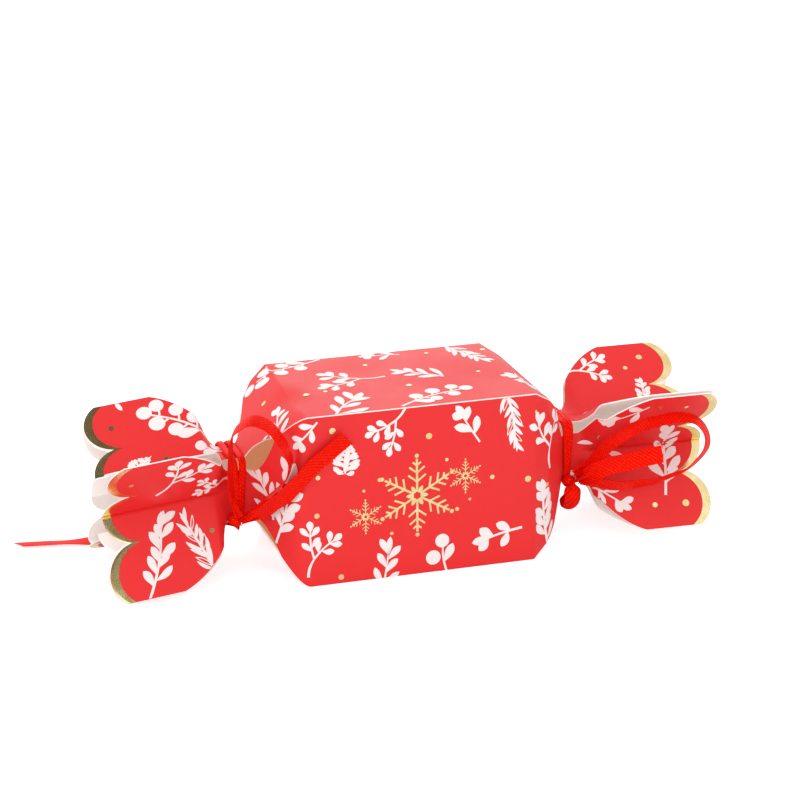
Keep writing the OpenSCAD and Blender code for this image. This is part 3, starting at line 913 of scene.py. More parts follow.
# The card's waviness, its rates in radians per mm and the share of a petal over which it fades. At the
# bottom, where the cracker stands on it, the card is hollow instead, with a waviness of its own.
WAVE = 0.22 * MM
WAVE_RATE_ALONG = 0.055
WAVE_RATE_ACROSS = 0.07
WAVE_FADE_SHARE = 0.6
HOLLOW = 0.15 * MM
HOLLOW_WAVE = 0.1 * MM
# The dent in the top panel near its left fold
DENT_ALONG, DENT_ACROSS = -40 * MM, -9 * MM
DENT_LONG, DENT_WIDE = 7 * MM, 16 * MM
DENT_DEPTH = 1.5 * MM
# The petals' fold at the barrel and their belly
PETAL_FOLD_DEPTH = 1.2 * MM
PETAL_FOLD_SHARE = 0.3
PETAL_BELLY = {"left": 2.4 * MM, "right": 2.8 * MM}


def barrel_wave(panel, along, across):
    """The card's slight waviness: none at the corners and the necks, and inwards only at the bottom."""
    fade = math.cos(math.pi / 2 * min(1, abs(across) / HALF_W)) ** 0.8
    fade *= 1 - smoothstep((abs(along) - BARREL_END) / (PETAL_L * WAVE_FADE_SHARE))
    slow = (math.sin(along / MM * WAVE_RATE_ALONG + panel * 1.7)
            * math.cos(across / MM * WAVE_RATE_ACROSS + panel))
    wave = (WAVE * slow if panel != BOTTOM else -HOLLOW - HOLLOW_WAVE * abs(slow)) * fade
    if panel == TOP:
        far = math.hypot((along - DENT_ALONG) / DENT_LONG, (across - DENT_ACROSS) / DENT_WIDE)
        wave -= DENT_DEPTH * (1 - smoothstep(far))
    return wave


def petal_bulge(end, t, point):
    """How far the petals leave their even curve: a tight fold at the barrel, then a belly.

    On the right all of them do, and on the left those at the top and the back. The left fold also
    fades towards the front.
    """
    fold = PETAL_FOLD_DEPTH * math.sin(math.pi * min(1, t / PETAL_FOLD_SHARE))
    belly = PETAL_BELLY[end] * math.sin(math.pi * t ** 1.5) ** 1.3
    if end == "right":
        return belly - fold
    high_back = (point.y + point.z - AXIS_Z) / HALF_W
    fold *= smoothstep(0.4 + 0.8 * point.y / HALF_W)
    return (belly - fold) * smoothstep(0.45 + 0.5 * high_back)


def barrel_surface(panel, along, across, depth=0.0):
    """A point of a barrel panel and its petals, by flat distance along and across."""
    side = 1 if across >= 0 else -1
    end = "right" if along >= 0 else "left"
    t = petal_share(abs(along) - BARREL_END)
    slope = petal_slope(t)
    level = petal_bend(t)
    x = min(abs(along), BARREL_END) + PETAL_L * t
    tilt = math.hypot(1, slope)
    reach = abs(across)
    turn = 0.0
    radius = CORNER_R * min(1, max(0, (SEAM_END_SHARE - t) / CORNER_FADE_SHARE))
    start = level - radius
    if corner_kind(panel, side) == "fold" and radius > 0 and reach > start:
        turn = math.pi / 4 * min(1, (reach - start) / radius)
        level = start + radius * math.cos(turn)
        reach = start + radius * math.sin(turn)
    edge = barrel_half(panel, side, along) - abs(across)
    if (corner_kind(panel, side) != "fold" or t > SEAM_END_SHARE) and edge < CUT_EDGE_ROUND:
        level -= CUT_EDGE_DROP * (CUT_EDGE_ROUND - edge)
    level += barrel_wave(panel, along, across)
    point = panel_point(
        panel,
        ENDS[end] * (x + depth * slope / tilt),
        side * (reach - depth * math.sin(turn) / tilt),
        level - depth * math.cos(turn) / tilt,
    )
    if 0 < t < 1:
        point.x += ENDS[end] * petal_bulge(end, t, point)
    return point


BARREL_ROWS = 28
FLAT_STEPS = 10
CORNER_STEPS = 4


def side_places(half):
    """Places from the middle to the edge: even steps, then short ones round the corner."""
    flat = half - CORNER_R
    return ([flat * i / FLAT_STEPS for i in range(FLAT_STEPS + 1)]
            + [flat + CORNER_R * (i + 1) / CORNER_STEPS for i in range(CORNER_STEPS)])


def both_sides(low, high):
    return [-p for p in reversed(low)] + high[1:]


barrel_alongs = [BARREL_END * (2 * i / BARREL_ROWS - 1) for i in range(1, BARREL_ROWS)]
barrel_alongs = ([-BARREL_END - run for run in reversed(petal_run)] + barrel_alongs
                 + [BARREL_END + run for run in petal_run])


def barrel_row(panel, along):
    return both_sides(side_places(barrel_half(panel, -1, along)), side_places(barrel_half(panel, 1, along)))


def folded_sheet(name, rows, columns, outer, inner, inside):
    """Two grids joined round their edges: the printed face, the inside and the cut edge."""
    face = laid_grid(name, rows, columns, outer)
    back = laid_grid(name + "_inside", rows, columns, inner)
    for piece in (face, back):
        give_material(piece, printed_red, inside, card_edge_painted_glow)
    for polygon in back.data.polygons:
        polygon.material_index = 1
    skin_faces = 2 * len(face.data.polygons)
    join_pieces([face, back])
    bpy.ops.object.mode_set(mode="EDIT")
    select_open_edges()
    bpy.ops.mesh.bridge_edge_loops()
    leave_edit_mode()
    for polygon in face.data.polygons[skin_faces:]:
        polygon.material_index = 2
    return face


def barrel_panel(word, panel):
    places = [barrel_row(panel, along) for along in barrel_alongs]

    def at_depth(depth):
        return lambda row, column: barrel_surface(panel, barrel_alongs[row], places[row][column], depth)

    piece = folded_sheet("card_" + word, len(barrel_alongs), len(places[0]), at_depth(0), at_depth(CARD_T),
                         barrel_inside)
    nodes = ["barrel_" + word, "left_petal_" + word, "right_petal_" + word]
    finish_piece(piece, "barrel", "printed_card", nodes, 35)


for word, panel in PANELS.items():
    barrel_panel(word, panel)


# Flares
def flare_opened(x):
    return smoothstep((x - SPREAD_X) / (SPREAD_L * OPEN_SHARE))


def flare_half(end, panel, side, x):
    """Half the flat width of a flare panel: its curve, held short of the diagonal before the fold."""
    strip = strip_half(panel, side) if end == "left" else STRIP_HALF
    gap = CORNER_GAP * (NECK_R - strip) / (NECK_R - STRIP_HALF)
    share = min(1, max(0, (x - SPREAD_X) / SPREAD_L))
    curve = (0.5 * math.sin(math.pi / 2 * share) + 0.5 * share) ** WIDEN_POWER
    turn = FOLD_ANGLE * flare_opened(x)
    diagonal = NECK_R / (math.cos(turn) - math.sin(turn)) - gap * (1 - share)
    return min(strip + (HALF_W - strip) * curve, diagonal)


def lobe_end(u):
    centre = 0 if u <= LOBE_PITCH / 2 else LOBE_PITCH
    return LOBE_X + math.sqrt(max(0, LOBE_R ** 2 - (u - centre) ** 2))


def flare_surface(end, panel, x, across, depth=0.0):
    """A point of a flare panel, by distance from the middle of the cracker and flat distance across."""
    side = 1 if across >= 0 else -1
    u = abs(across)
    angles = FLARE_ANGLES.get((end, panel), (FOLD_ANGLE, FOLD_ANGLE))
    angle = angles[0 if side < 0 else 1] * flare_opened(x)
    half = flare_half(end, panel, side, x)
    if depth > 0:
        inner_start = -depth * math.tan(angle)
        mitre = 0
        if corner_kind(panel, side) == "fold":
            mitre = MITRE * smoothstep((x - FOLD_X + MITRE_L) / MITRE_L) * depth / CARD_T
        u = inner_start + u / half * (half - mitre - inner_start)
    groove = CREASE_DEPTH * max(0, 1 - u / CREASE_HALF) * flare_opened(x)
    w = side * (u * math.cos(angle) + depth * math.sin(angle))
    h = NECK_R + u * math.sin(angle) - depth * math.cos(angle) - (groove if depth <= 0 else 0)
    point = panel_point(panel, ENDS[end] * x, w, h)
    past = max(0, x - SPREAD_X)
    point.y -= math.tan(SWAY) * past
    point.z -= math.tan(DROOP[end]) * past
    return point


NOTCH_TURN = math.asin(LOBE_PITCH / 2 / LOBE_R)
SIDE_TURN = math.asin((HALF_W - LOBE_PITCH) / LOBE_R)
MIDDLE_STEPS = 12
SIDE_STEPS = 20
half_places = (
    [0, CREASE_HALF]
    + [LOBE_R * math.sin(NOTCH_TURN * i / MIDDLE_STEPS) for i in range(1, MIDDLE_STEPS + 1)]
    + [LOBE_PITCH + LOBE_R * math.sin(-NOTCH_TURN + (NOTCH_TURN + SIDE_TURN) * i / SIDE_STEPS)
       for i in range(1, SIDE_STEPS + 1)]
)
flare_shares = [p / HALF_W for p in both_sides(half_places, half_places)]
COLLAR_ROWS = 3
SPREAD_ROWS = 26
SIDE_ROWS = 8
flare_xs = ([COLLAR_X + (SPREAD_X - COLLAR_X) * i / COLLAR_ROWS for i in range(COLLAR_ROWS)]
            + [SPREAD_X + SPREAD_L * i / SPREAD_ROWS for i in range(SPREAD_ROWS + 1)])


def flare_place(end, panel, row, share):
    """Distance out and across of a grid point. The last rows run out to the scallops."""
    if row < len(flare_xs):
        x = flare_xs[row]
        return x, share * flare_half(end, panel, 1 if share >= 0 else -1, x)
    u = share * HALF_W
    step = (row - len(flare_xs) + 1) / SIDE_ROWS
    return FOLD_X + (lobe_end(abs(u)) - FOLD_X) * step, u


def flare_panel(end, word, panel):
    rows = len(flare_xs) + SIDE_ROWS

    def at_depth(depth):
        def place(row, column):
            x, across = flare_place(end, panel, row, flare_shares[column])
            return flare_surface(end, panel, x, across, depth)
        return place

    name = f"{end}_flare_{word}"
    piece = folded_sheet(name + "_card", rows, len(flare_shares), at_depth(0), at_depth(CARD_T), card_inside)
    finish_piece(piece, end + "_end", "printed_card", [name], 35)


# The foil bands stop just short of the cut edges and are pressed down there
FOIL_ROWS = 5
FOIL_SIDE_SHARE = 0.9985
FOIL_SHORT = 0.08 * MM
FOIL_LIFT = 2 * FOIL_T
FOIL_EDGE_LIFT = 0.2 * FOIL_T


def flare_foil(end, word, panel):
    """The gold band along the scallops: the scallops' own line, moved inwards."""
    def place(row, column):
        across = flare_shares[column] * HALF_W * FOIL_SIDE_SHARE
        tip = lobe_end(abs(across)) - FOIL_SHORT
        lift = FOIL_LIFT if row < FOIL_ROWS else FOIL_EDGE_LIFT
        return flare_surface(end, panel, tip - FOIL_W * (1 - row / FOIL_ROWS), across, -lift)

    piece = laid_grid(f"{end}_flare_{word}_foil", FOIL_ROWS + 1, len(flare_shares), place)
    apply_modifier(piece, "SOLIDIFY", thickness=FOIL_T, offset=0)
    give_material(piece, gold_foil)
    finish_piece(piece, end + "_end", "printed_card")


for end in ENDS:
    for word, panel in PANELS.items():
        flare_panel(end, word, panel)
        flare_foil(end, word, panel)


# Print: each mark is a strip of small faces on flat coordinates, later laid on its panel.
# Places are complex numbers: millimetres along plus millimetres across times i.
class Pen:
    """Draws marks into one mesh, each on one of a few levels, so that marks which cross don't meet."""

    levels = 7
    # The share of its width that a mark keeps at its tips, and that a stem loses along its length
    tip_share = 0.03
    stem_taper = 0.35
    # The rim of a hollow leaf, in mm and at most as a share of its width
    rim = 0.28
    rim_share = 0.3

    def __init__(self, seed):
        self.mesh = bmesh.new()
        self.random = random.Random(seed)
        self.marks = 0

    def strip(self, line, low, high):
        """A strip along the line, from low to high millimetres to its left."""
        level = self.marks % self.levels
        self.marks += 1
        rows = []
        for i, point in enumerate(line):
            way = line[min(i + 1, len(line) - 1)] - line[max(i - 1, 0)]
            left = 1j * way / abs(way)
            rows.append([self.mesh.verts.new((p.real, p.imag, level)) for p in (
                point + left * low[i], point + left * (low[i] + high[i]) / 2, point + left * high[i])])
        for a, b in zip(rows, rows[1:]):
            for k in range(2):
                self.mesh.faces.new((a[k], b[k], b[k + 1], a[k + 1]))

    def blade(self, root, tip, width, full=0.55, bow=0.08, hollow=False):
        """A leaf or a needle. full is where it is widest and bow how much it bends."""
        steps = 9
        bow *= self.random.uniform(-1, 1)
        line, half = [], []
        for i in range(steps + 1):
            t = i / steps
            line.append(root + (tip - root) * (t + 1j * bow * math.sin(math.pi * t)))
            skew = t ** (math.log(0.5) / math.log(full))
            half.append(width / 2 * max(self.tip_share, math.sin(math.pi * skew) ** 0.7))
        if not hollow:
            self.strip(line, [-h for h in half], half)
            return
        rim = min(self.rim, width * self.rim_share)
        slit = [max(0, h - rim) if 1 < i < steps - 1 else 0 for i, h in enumerate(half)]
        self.strip(line, slit, half)
        self.strip(line, [-h for h in half], [-s for s in slit])

    def disc(self, middle, radius):
        steps = 10
        turns = [math.pi * i / steps for i in range(steps + 1)]
        line = [middle - radius * math.cos(turn) for turn in turns]
        half = [radius * max(self.tip_share, math.sin(turn)) for turn in turns]
        self.strip(line, [-h for h in half], half)

    def stem(self, line, width):
        low = [-width / 2 * (1 - self.stem_taper * i / len(line)) for i in range(len(line))]
        self.strip(line, low, [-v for v in low])


def bent_line(root, tip, bend, steps=14):
    shares = [i / steps for i in range(steps + 1)]
    return [root + (tip - root) * (t + 1j * bend * math.sin(math.pi * t)) for t in shares]


def turned(way, degrees):
    return way * cmath.exp(1j * math.radians(degrees))


def draw_leafy(pen, root, way, length, pairs, leaf, width, lean, full, first, some_hollow=False):
    """A spine with leaves or needles in pairs."""
    spine = bent_line(root, root + way * length * 0.9, pen.random.uniform(-0.06, 0.06))
    pen.stem(spine, 0.7 if length < 16 else 0.95)
    for pair in range(pairs):
        share = first + (0.82 - first) * pair / max(1, pairs - 1)
        for side in (-1, 1):
            at = spine[min(len(spine) - 2, int((share + 0.05 * side) * (len(spine) - 1)))]
            reach = leaf * length * pen.random.uniform(0.8, 1.15) * (1.1 - 0.35 * share)
            tip = at + turned(way, side * lean * pen.random.uniform(0.8, 1.25)) * reach
            hollow = some_hollow and (pair + side) % 3 == 0
            pen.blade(at, tip, width * length * pen.random.uniform(0.9, 1.2), full, hollow=hollow)
    end = spine[-4]
    pen.blade(end, end + way * length * leaf * 0.95, width * length, full)


def draw_berries(pen, root, way, length, radius):
    """A forked branch with round berries and a leaf."""
    spine = bent_line(root, root + way * length * 0.86, 0.07)
    pen.stem(spine, 1.0)
    for share, side in ((0.35, 1), (0.45, -1), (0.6, 1), (0.72, -1), (0.86, 1)):
        at = spine[int(share * (len(spine) - 1))]
        middle = at + turned(way, side * 52) * radius * 1.75
        pen.stem(bent_line(at, middle, 0.1 * side, 5), 0.8)
        pen.disc(middle, radius * pen.random.uniform(0.9, 1.1))
    pen.disc(spine[-1] + way * radius * 0.7, radius)
    at = spine[int(0.22 * (len(spine) - 1))]
    pen.blade(at, at + turned(way, -38) * radius * 3.2, radius * 1.6, 0.64)


def draw_fork(pen, root, way, length):
    """Two twigs from one stalk, each with paired leaves."""
    split = root + way * length * 0.4
    pen.stem(bent_line(root, split, 0.08, 6), 0.95)
    for lean, reach in ((24, 0.62), (-32, 0.55)):
        twig_way = turned(way, lean)
        spine = bent_line(split, split + twig_way * length * reach, 0.05, 8)
        pen.stem(spine, 0.75)
        for share, side in ((0.3, 1), (0.4, -1), (0.75, 1), (0.8, -1)):
            at = spine[int(share * (len(spine) - 1))]
            pen.blade(at, at + turned(twig_way, side * 46) * length * 0.27, length * 0.13, 0.66)
        pen.blade(spine[-2], spine[-1] + twig_way * length * 0.18, length * 0.14, 0.66)


def draw_bud(pen, root, way, length):
    """Two round fruits and a leaf on one stalk."""
    spine = bent_line(root, root + way * length * 0.75, 0.05)
    pen.stem(spine, 0.8)
    pen.disc(spine[-1] + way * length * 0.12, length * 0.19)
    pen.disc(spine[6] + turned(way, 62) * length * 0.3, length * 0.2)
    pen.blade(spine[5], spine[5] + turned(way, -34) * length * 0.55, length * 0.24, 0.6)


def draw_cone(pen, root, way, length):
    """A pine cone: rows of scales that spread from its core, widest low down."""
    for share, across in ((0.0, 0.28), (0.08, 0.39), (0.17, 0.44), (0.29, 0.43), (0.41, 0.38), (0.54, 0.31),
                          (0.67, 0.23), (0.8, 0.14)):
        at = root + way * length * share
        for side in (-1, 1):
            start = at + turned(way, side * 90) * length * 0.02
            pen.blade(start, at + turned(way, side * 70) * length * across, length * 0.15, 0.66, 0.15)
    pen.blade(root, root + way * length * 1.05, length * 0.17, 0.4, 0)


def draw_leaf(pen, root, way, length):
    pen.blade(root, root + way * length, length * 0.34, 0.58)


# What draws each kind of sprig. A leafy kind adds its pairs of leaves, a leaf's length and width as
# shares of the sprig's length, its lean in degrees, where it is fullest and where the first pair sits.
KINDS = {
    "leafy": (draw_leafy, 5, 0.25, 0.085, 36, 0.62, 0.2),
    "narrow": (draw_leafy, 5, 0.28, 0.065, 32, 0.55, 0.15),
    "small": (draw_leafy, 2, 0.46, 0.19, 40, 0.64, 0.25),
    "plump": (draw_leafy, 3, 0.36, 0.13, 40, 0.6, 0.15),
    "cluster": (draw_leafy, 3, 0.52, 0.14, 34, 0.64, 0.08),
    "olive": (draw_leafy, 2, 0.46, 0.19, 46, 0.6, 0.35),
    "fir": (draw_leafy, 7, 0.27, 0.052, 30, 0.5, 0.06, True),
    "berries": (draw_berries, 2.35),
    "big_berries": (draw_berries, 2.75),
    "fork": (draw_fork,),
    "bud": (draw_bud,),
    "cone": (draw_cone,),
    "leaf": (draw_leaf,),
}

# Marks on each panel: kind, distance along and across, length, angle of growth
FRONT_SPRIGS = [
    ("fork", -6, 31, 16, -125), ("olive", 19.6, 15, 14, 122), ("fir", 29, 31, 22, -82),
    ("fork", 47, 1, 20, 92), ("cone", -27.4, 8.9, 11.5, 82), ("leafy", -54, -17, 34, 74),
    ("cluster", -55, -9, 17, 112), ("fork", -40.5, -26.4, 17, 72), ("cluster", -14.5, -33, 15, 82),
    ("bud", 7.8, -30, 13, 98), ("olive", 34.8, -17.5, 16, -168), ("leafy", 46.5, -28, 28, 95),
    ("small", -36.5, 28, 11, -132),
]
FRONT_DOTS = [
    (-31.4, 24.4, 1.1), (-37.2, -4.8, 0.9), (-29.2, -27.6, 1), (-36.6, 8.6, 0.8), (1.8, 19, 1.1),
    (24, 2, 0.8), (36.8, -0.2, 1.1), (45.5, -4.5, 0.8), (39.9, 23.4, 0.8),
]
TOP_SPRIGS = [
    ("berries", -19.8, 28.8, 33, -163), ("fork", -3.4, 3.4, 22, 177), ("cluster", -30, -30, 20, 52),
    ("leaf", -60, -13, 7, -15), ("small", 8.5, 25.5, 13, 176), ("cluster", 15.5, -3.5, 17, 139),
    ("berries", -7, -28.6, 31, 24), ("narrow", 26, 31, 27, -67), ("leafy", 47, -25, 23, 120),
    ("plump", -51.5, -25, 18, 66),
]
TOP_DOTS = [
    (-6.4, 17.6, 0.8), (1.6, -8.2, 1), (-27, -5.4, 0.7), (-34, -6.6, 1.1), (-47.4, 2.8, 1),
    (28.4, -2, 0.7), (17.8, 24, 0.7), (38, 22, 0.9), (-40, 26, 0.8),
]
BACK_SPRIGS = [
    ("berries", 30, -22, 32, 150), ("cone", -6, -4, 11.5, 100), ("fir", -22, 26, 22, -110),
    ("leafy", 54, 14, 33, -112), ("fork", 8, 28, 19, -60), ("olive", -30, -8, 16, 60),
    ("narrow", -47, -22, 23, 84), ("bud", 6, -30, 13, 88), ("small", 24, 4, 14, 20),
    ("cluster", -26, -30.5, 13, 95), ("fork", -60, 3, 20, 30),
]
BOTTOM_SPRIGS = [
    ("berries", -26, 20, 32, -30), ("leafy", -52, -14, 33, 62), ("fork", 20, -26, 19, 110),
    ("cone", 34, 6, 11.5, 75), ("fir", 6, 30, 21, -82), ("small", -8, -12, 14, 160),
    ("olive", -18, -26, 16, 40), ("cluster", 30, 30.5, 14, -95), ("narrow", 50, -22, 23, 96),
    ("small", 58, 2, 12, 170),
]
SPARE_DOTS = [
    (-12, 12, 1), (14, 14, 0.8), (-36, 12, 0.9), (38, -8, 1.1), (-2, -20, 0.8), (20, 20, 1),
    (-44, 6, 0.9), (46, 8, 0.8), (-16, -14, 0.7), (12, -6, 1.1),
]
LEFT_FRONT_SPRIGS = [
    ("leafy", 93.9, -30, 31, 105), ("fir", 71, -25, 24, 66), ("fork", 88.5, 7.5, 20, 127),
    ("fork", 61.5, 4, 13, 14),
]
LEFT_TOP_SPRIGS = [
    ("big_berries", 63, 7.5, 29, 36), ("bud", 60, 0, 11, 30), ("cone", 94, -1, 9.5, 146),
    ("leaf", 101, -3, 10, 176),
    ("leaf", 93.5, 31, 5, -110), ("fork", 80, -24, 20, 60),
]
RIGHT_TOP_SPRIGS = [
    ("fork", 66, 19, 16, 6), ("leafy", 91, -2, 17, 84), ("small", 66, -6, 11, 30),
    ("fork", 78, -24, 20, 50),
]
RIGHT_FRONT_SPRIGS = [
    ("small", 81.5, 25, 15.5, -150), ("leafy", 90.5, -18.5, 32, 85), ("small", 66, -13, 13, -38),
    ("leaf", 62, 3, 5, 10), ("leaf", 79, -5, 7, 150),
]
FLARE_SPRIGS = {
    ("left", FRONT): (LEFT_FRONT_SPRIGS, [(98, 18, 0.8), (70, -12, 0.8)]),
    ("left", TOP): (LEFT_TOP_SPRIGS, [(96.9, 19.6, 1), (81.1, 2.4, 0.8)]),
    ("left", BACK): (RIGHT_FRONT_SPRIGS, [(85, 24, 0.9), (97, -22, 1.1)]),
    ("left", BOTTOM): (RIGHT_TOP_SPRIGS, [(95, 22, 1), (88, 18, 0.8)]),
    ("right", FRONT): (RIGHT_FRONT_SPRIGS, [
        (67.5, 8.2, 1), (95.1, 22.8, 0.7), (85.5, 24, 0.8), (97.1, -22, 1.2), (86.1, -21.6, 0.9)]),
    ("right", TOP): (RIGHT_TOP_SPRIGS, [(95.3, 23.4, 1.1), (88.9, 19, 0.8)]),
    ("right", BACK): (LEFT_FRONT_SPRIGS, [(84, 22, 0.9), (97, -18, 1.1)]),
    ("right", BOTTOM): (LEFT_TOP_SPRIGS, [(96, 20, 1), (88, -12, 0.8)]),
}


def draw_sprigs(pen, sprigs):
    for kind, along, across, length, degrees in sprigs:
        draw, *sizes = KINDS[kind]
        draw(pen, complex(along, across), turned(1, degrees), length, *sizes)


def draw_dots(pen, dots):
    for along, across, radius in dots:
        pen.disc(complex(along, across), radius)


def snowflake(pen, middle, radius):
    """A plain six-armed snowflake ornament."""
    arms = 6
    for arm in range(arms):
        way = turned(1, 360 / arms * arm + 90)
        tip = middle + way * radius
        pen.strip([middle + way * radius * 0.1, tip], [-radius * 0.03] * 2, [radius * 0.03] * 2)
        pen.disc(tip + way * radius * 0.08, radius * 0.055)
        for share, reach in ((0.38, 0.30), (0.62, 0.26), (0.82, 0.14)):
            at = middle + way * radius * share
            for side in (-1, 1):
                end = at + turned(way, side * 52) * radius * reach
                pen.strip([at, end], [-radius * 0.026] * 2, [radius * 0.026] * 2)
        inner = middle + turned(way, 30) * radius * 0.3
        pen.blade(middle + turned(way, 30) * radius * 0.08, inner, radius * 0.11, 0.5, 0)


def draw_ornament(pen):
    """Gold snowflakes in the clear space of the front panel."""
    for along, across, radius in ((-2.5, -1.5, 13), (-20.5, -7, 5.5), (14.5, 3.5, 5.5)):
        snowflake(pen, complex(along, across), radius)
    draw_dots(pen, [(-15.5, 5.5, 0.7), (-21, 2.2, 0.5), (11.5, -8, 0.7), (16, -5, 0.5),
                    (-11.5, -14, 0.6), (8, 10, 0.6)])


# Height of the lowest print over the card and from one level to the next, in its own thicknesses
PRINT_LIFT = 1.2
PRINT_LEVEL_LIFT = 0.22
# How far print stays inside the edges, and at the scallops, half way under the foil
BARREL_MARGIN = 0.15 * MM
FLARE_MARGIN = 0.25 * MM
SCALLOP_MARGIN = 0.5 * FOIL_W
# Seeds of the top panel's white and gold print, on the barrel and on a flare. Each next panel adds one.
BARREL_SEEDS = (11, 31)
FLARE_SEEDS = (51, 71)


def lay_print(name, pen, body, surface, clamp, material, thickness, creased):
    """Cuts the marks at the panel's crease, holds them inside its edges and lays them on it."""
    mesh = pen.mesh
    bmesh.ops.scale(mesh, vec=(MM, MM, 1), verts=mesh.verts)
    if creased:
        everything = mesh.verts[:] + mesh.edges[:] + mesh.faces[:]
        bmesh.ops.bisect_plane(mesh, geom=everything, plane_co=(0, 0, 0), plane_no=(0, 1, 0), dist=1e-7)
    for vertex in mesh.verts:
        along, across = clamp(vertex.co.x, vertex.co.y)
        lift = thickness * (PRINT_LIFT + PRINT_LEVEL_LIFT * vertex.co.z)
        vertex.co = surface(along, across, -lift)
    bmesh.ops.dissolve_degenerate(mesh, dist=0.01 * MM, edges=mesh.edges)
    data = bpy.data.meshes.new(name)
    mesh.to_mesh(data)
    mesh.free()
    piece = bpy.data.objects.new(name, data)
    scene.collection.objects.link(piece)
    apply_modifier(piece, "SOLIDIFY", thickness=thickness, offset=0)
    give_material(piece, material)
    finish_piece(piece, body, "printed_card")


def print_panel(name, body, surface, clamp, seeds, sprigs, dots, creased=False, ornament=False):
    """White sprigs and gold dots, and on one panel the gold ornament."""
    ink, foil = Pen(seeds[0]), Pen(seeds[1])
    draw_sprigs(ink, sprigs)
    lay_print(name + "_print", ink, body, surface, clamp, white_ink, INK_T, creased)
    draw_dots(foil, dots)
    if ornament:
        draw_ornament(foil)
    lay_print(name + "_gold", foil, body, surface, clamp, gold_foil, FOIL_T, creased)


def print_barrel(word, sprigs, dots, ornament=False):
    panel = PANELS[word]

    def surface(along, across, depth):
        return barrel_surface(panel, along, across, depth)

    def clamp(along, across):
        limit = BARREL_END + PETAL_RUN_L - BARREL_MARGIN
        along = max(-limit, min(limit, along))
        high = barrel_half(panel, 1, along) - BARREL_MARGIN
        low = barrel_half(panel, -1, along) - BARREL_MARGIN
        return along, max(-low, min(high, across))

    seeds = [seed + panel for seed in BARREL_SEEDS]
    print_panel("card_" + word, "barrel", surface, clamp, seeds, sprigs, dots, ornament=ornament)


def print_flare(end, word, panel):
    def surface(x, across, depth):
        return flare_surface(end, panel, x, across, depth)

    def clamp(x, across):
        x = max(COLLAR_X + FLARE_MARGIN, x)
        half = flare_half(end, panel, 1 if across >= 0 else -1, x) - FLARE_MARGIN
        across = max(-half, min(half, across))
        return min(x, lobe_end(abs(across)) - SCALLOP_MARGIN), across

    seeds = [seed + panel for seed in FLARE_SEEDS]
    print_panel(f"{end}_flare_{word}", end + "_end", surface, clamp, seeds, *FLARE_SPRIGS[end, panel],
                creased=True)


print_barrel("front", FRONT_SPRIGS, FRONT_DOTS, ornament=True)
print_barrel("top", TOP_SPRIGS, TOP_DOTS)
print_barrel("back", BACK_SPRIGS, SPARE_DOTS)
print_barrel("bottom", BOTTOM_SPRIGS, SPARE_DOTS)
for end in ENDS:
    for word, panel in PANELS.items():
        print_flare(end, word, panel)


# Pieces kept from the frame get their finish
KEPT_PIECES = {
    "glue_flap": card_inside,
    "left_snap_strip": snap_card,
    "right_snap_strip": snap_card,
    "snap_sleeve": sleeve_paper,
    "paper_crown": crown_tissue,
    "motto_slip": slip_paper,
    "spinning_top": painted_wood,
}
for name, material in KEPT_PIECES.items():
    give_material(frame["nodes"][name], material)


# Floor, lights and a white surround
WHITE = (1, 1, 1, 1)
# How white the camera sees the floor under the cracker, and where it starts and ends turning to plain
# white. The world lights the object a little less than it shows.
FLOOR_GLOW = 0.7
FLOOR_NEAR = 0.12
FLOOR_FAR = 0.45
AMBIENT = 0.9
# Name, middle and size of each dark card
FLAGS = [
    ("foil_flag", (-0.1, -0.16, 0.42), (0.42, 0.75)),
    ("front_flag", (0.018, -0.33, 0.3), (0.16, 0.22)),
]
# Name, place, what it is aimed at, size and power of each lamp
LAMPS = [
    ("overhead", (-0.35, -0.1, 1.1), (0, 0, 0.03), 0.9, 2.0),
    ("front", (0.1, -1.1, 0.4), (0, 0, 0.03), 0.7, 1.0),
    ("left", (-0.95, -0.35, 0.25), (-0.05, 0, 0.03), 0.7, 1.6),
    ("back", (0.33, 1.09, 0.41), (0, 0, 0.03), 0.6, 0.7),
]


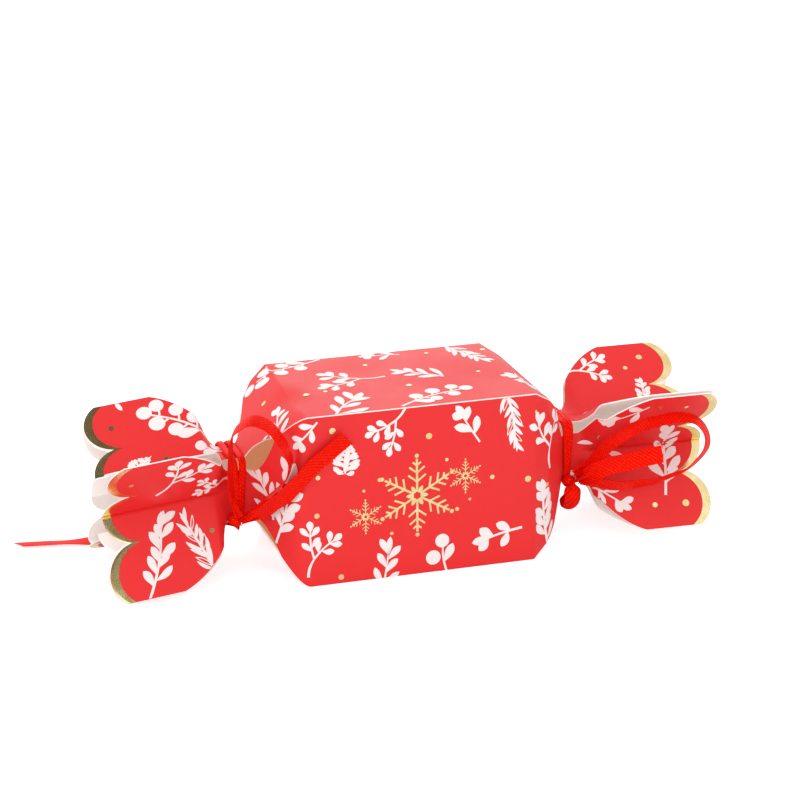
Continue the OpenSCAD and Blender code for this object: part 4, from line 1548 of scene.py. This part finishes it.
def make_floor():
    bpy.ops.mesh.primitive_plane_add(size=6, location=(0, 0, -0.02 * MM))
    floor = bpy.context.object
    floor.name = "floor"
    material, tree, shader = new_material("floor")
    place = add_node(tree, "ShaderNodeTexCoord").outputs["Object"]
    away = add_node(tree, "ShaderNodeVectorMath", {0: place}, operation="LENGTH").outputs["Value"]
    white = between(tree, away, FLOOR_GLOW, 1.0, FLOOR_NEAR, FLOOR_FAR)
    camera_ray = add_node(tree, "ShaderNodeLightPath").outputs["Is Camera Ray"]
    set_inputs(tree, shader, {
        "Base Color": (0.94, 0.94, 0.94, 1),
        "Roughness": 0.9,
        "Specular IOR Level": 0.0,
        "Emission Strength": calculated(tree, "MULTIPLY", white, camera_ray),
        "Emission Color": WHITE,
    })
    give_material(floor, material)
    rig.stage(floor)


def make_flag(name, middle, size):
    """A dark card off camera that only reflections see, as a studio sets for foil."""
    bpy.ops.mesh.primitive_plane_add(size=1, location=middle)
    flag = bpy.context.object
    flag.name = name
    flag.scale = (*size, 1)
    material, tree, shader = new_material(name)
    set_inputs(tree, shader, {"Base Color": (0.1, 0.09, 0.07, 1), "Roughness": 1.0})
    give_material(flag, material)
    flag.visible_camera = False
    flag.visible_diffuse = False
    flag.visible_shadow = False
    flag.visible_transmission = False
    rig.stage(flag)


def make_lamp(name, place, aim, size, power):
    data = bpy.data.lights.new(name, "AREA")
    data.shape = "DISK"
    data.size = size
    data.energy = power
    lamp = bpy.data.objects.new(name, data)
    scene.collection.objects.link(lamp)
    lamp.location = place
    lamp.rotation_euler = (Vector(aim) - Vector(place)).to_track_quat("-Z", "Y").to_euler()


def make_world():
    world = bpy.data.worlds.new("studio")
    world.use_nodes = True
    scene.world = world
    tree = world.node_tree
    tree.nodes.clear()
    rays = add_node(tree, "ShaderNodeLightPath").outputs
    seen = calculated(tree, "MAXIMUM", rays["Is Camera Ray"], rays["Is Glossy Ray"])
    seen = calculated(tree, "MAXIMUM", seen, rays["Is Transmission Ray"])
    soft = add_node(tree, "ShaderNodeBackground", {"Color": WHITE, "Strength": AMBIENT})
    white = add_node(tree, "ShaderNodeBackground", {"Color": WHITE, "Strength": 1.0})
    mix = add_node(tree, "ShaderNodeMixShader", {0: seen, 1: soft.outputs[0], 2: white.outputs[0]})
    add_node(tree, "ShaderNodeOutputWorld", {"Surface": mix.outputs[0]})


make_floor()
for row in FLAGS:
    make_flag(*row)
for row in LAMPS:
    make_lamp(*row)
make_world()
scene.view_settings.view_transform = "Standard"

with open("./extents.json", "w") as out:
    json.dump({"cad": [list(corner) for corner in cad_box],
               "visual": [list(corner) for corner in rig.bounds()]}, out)
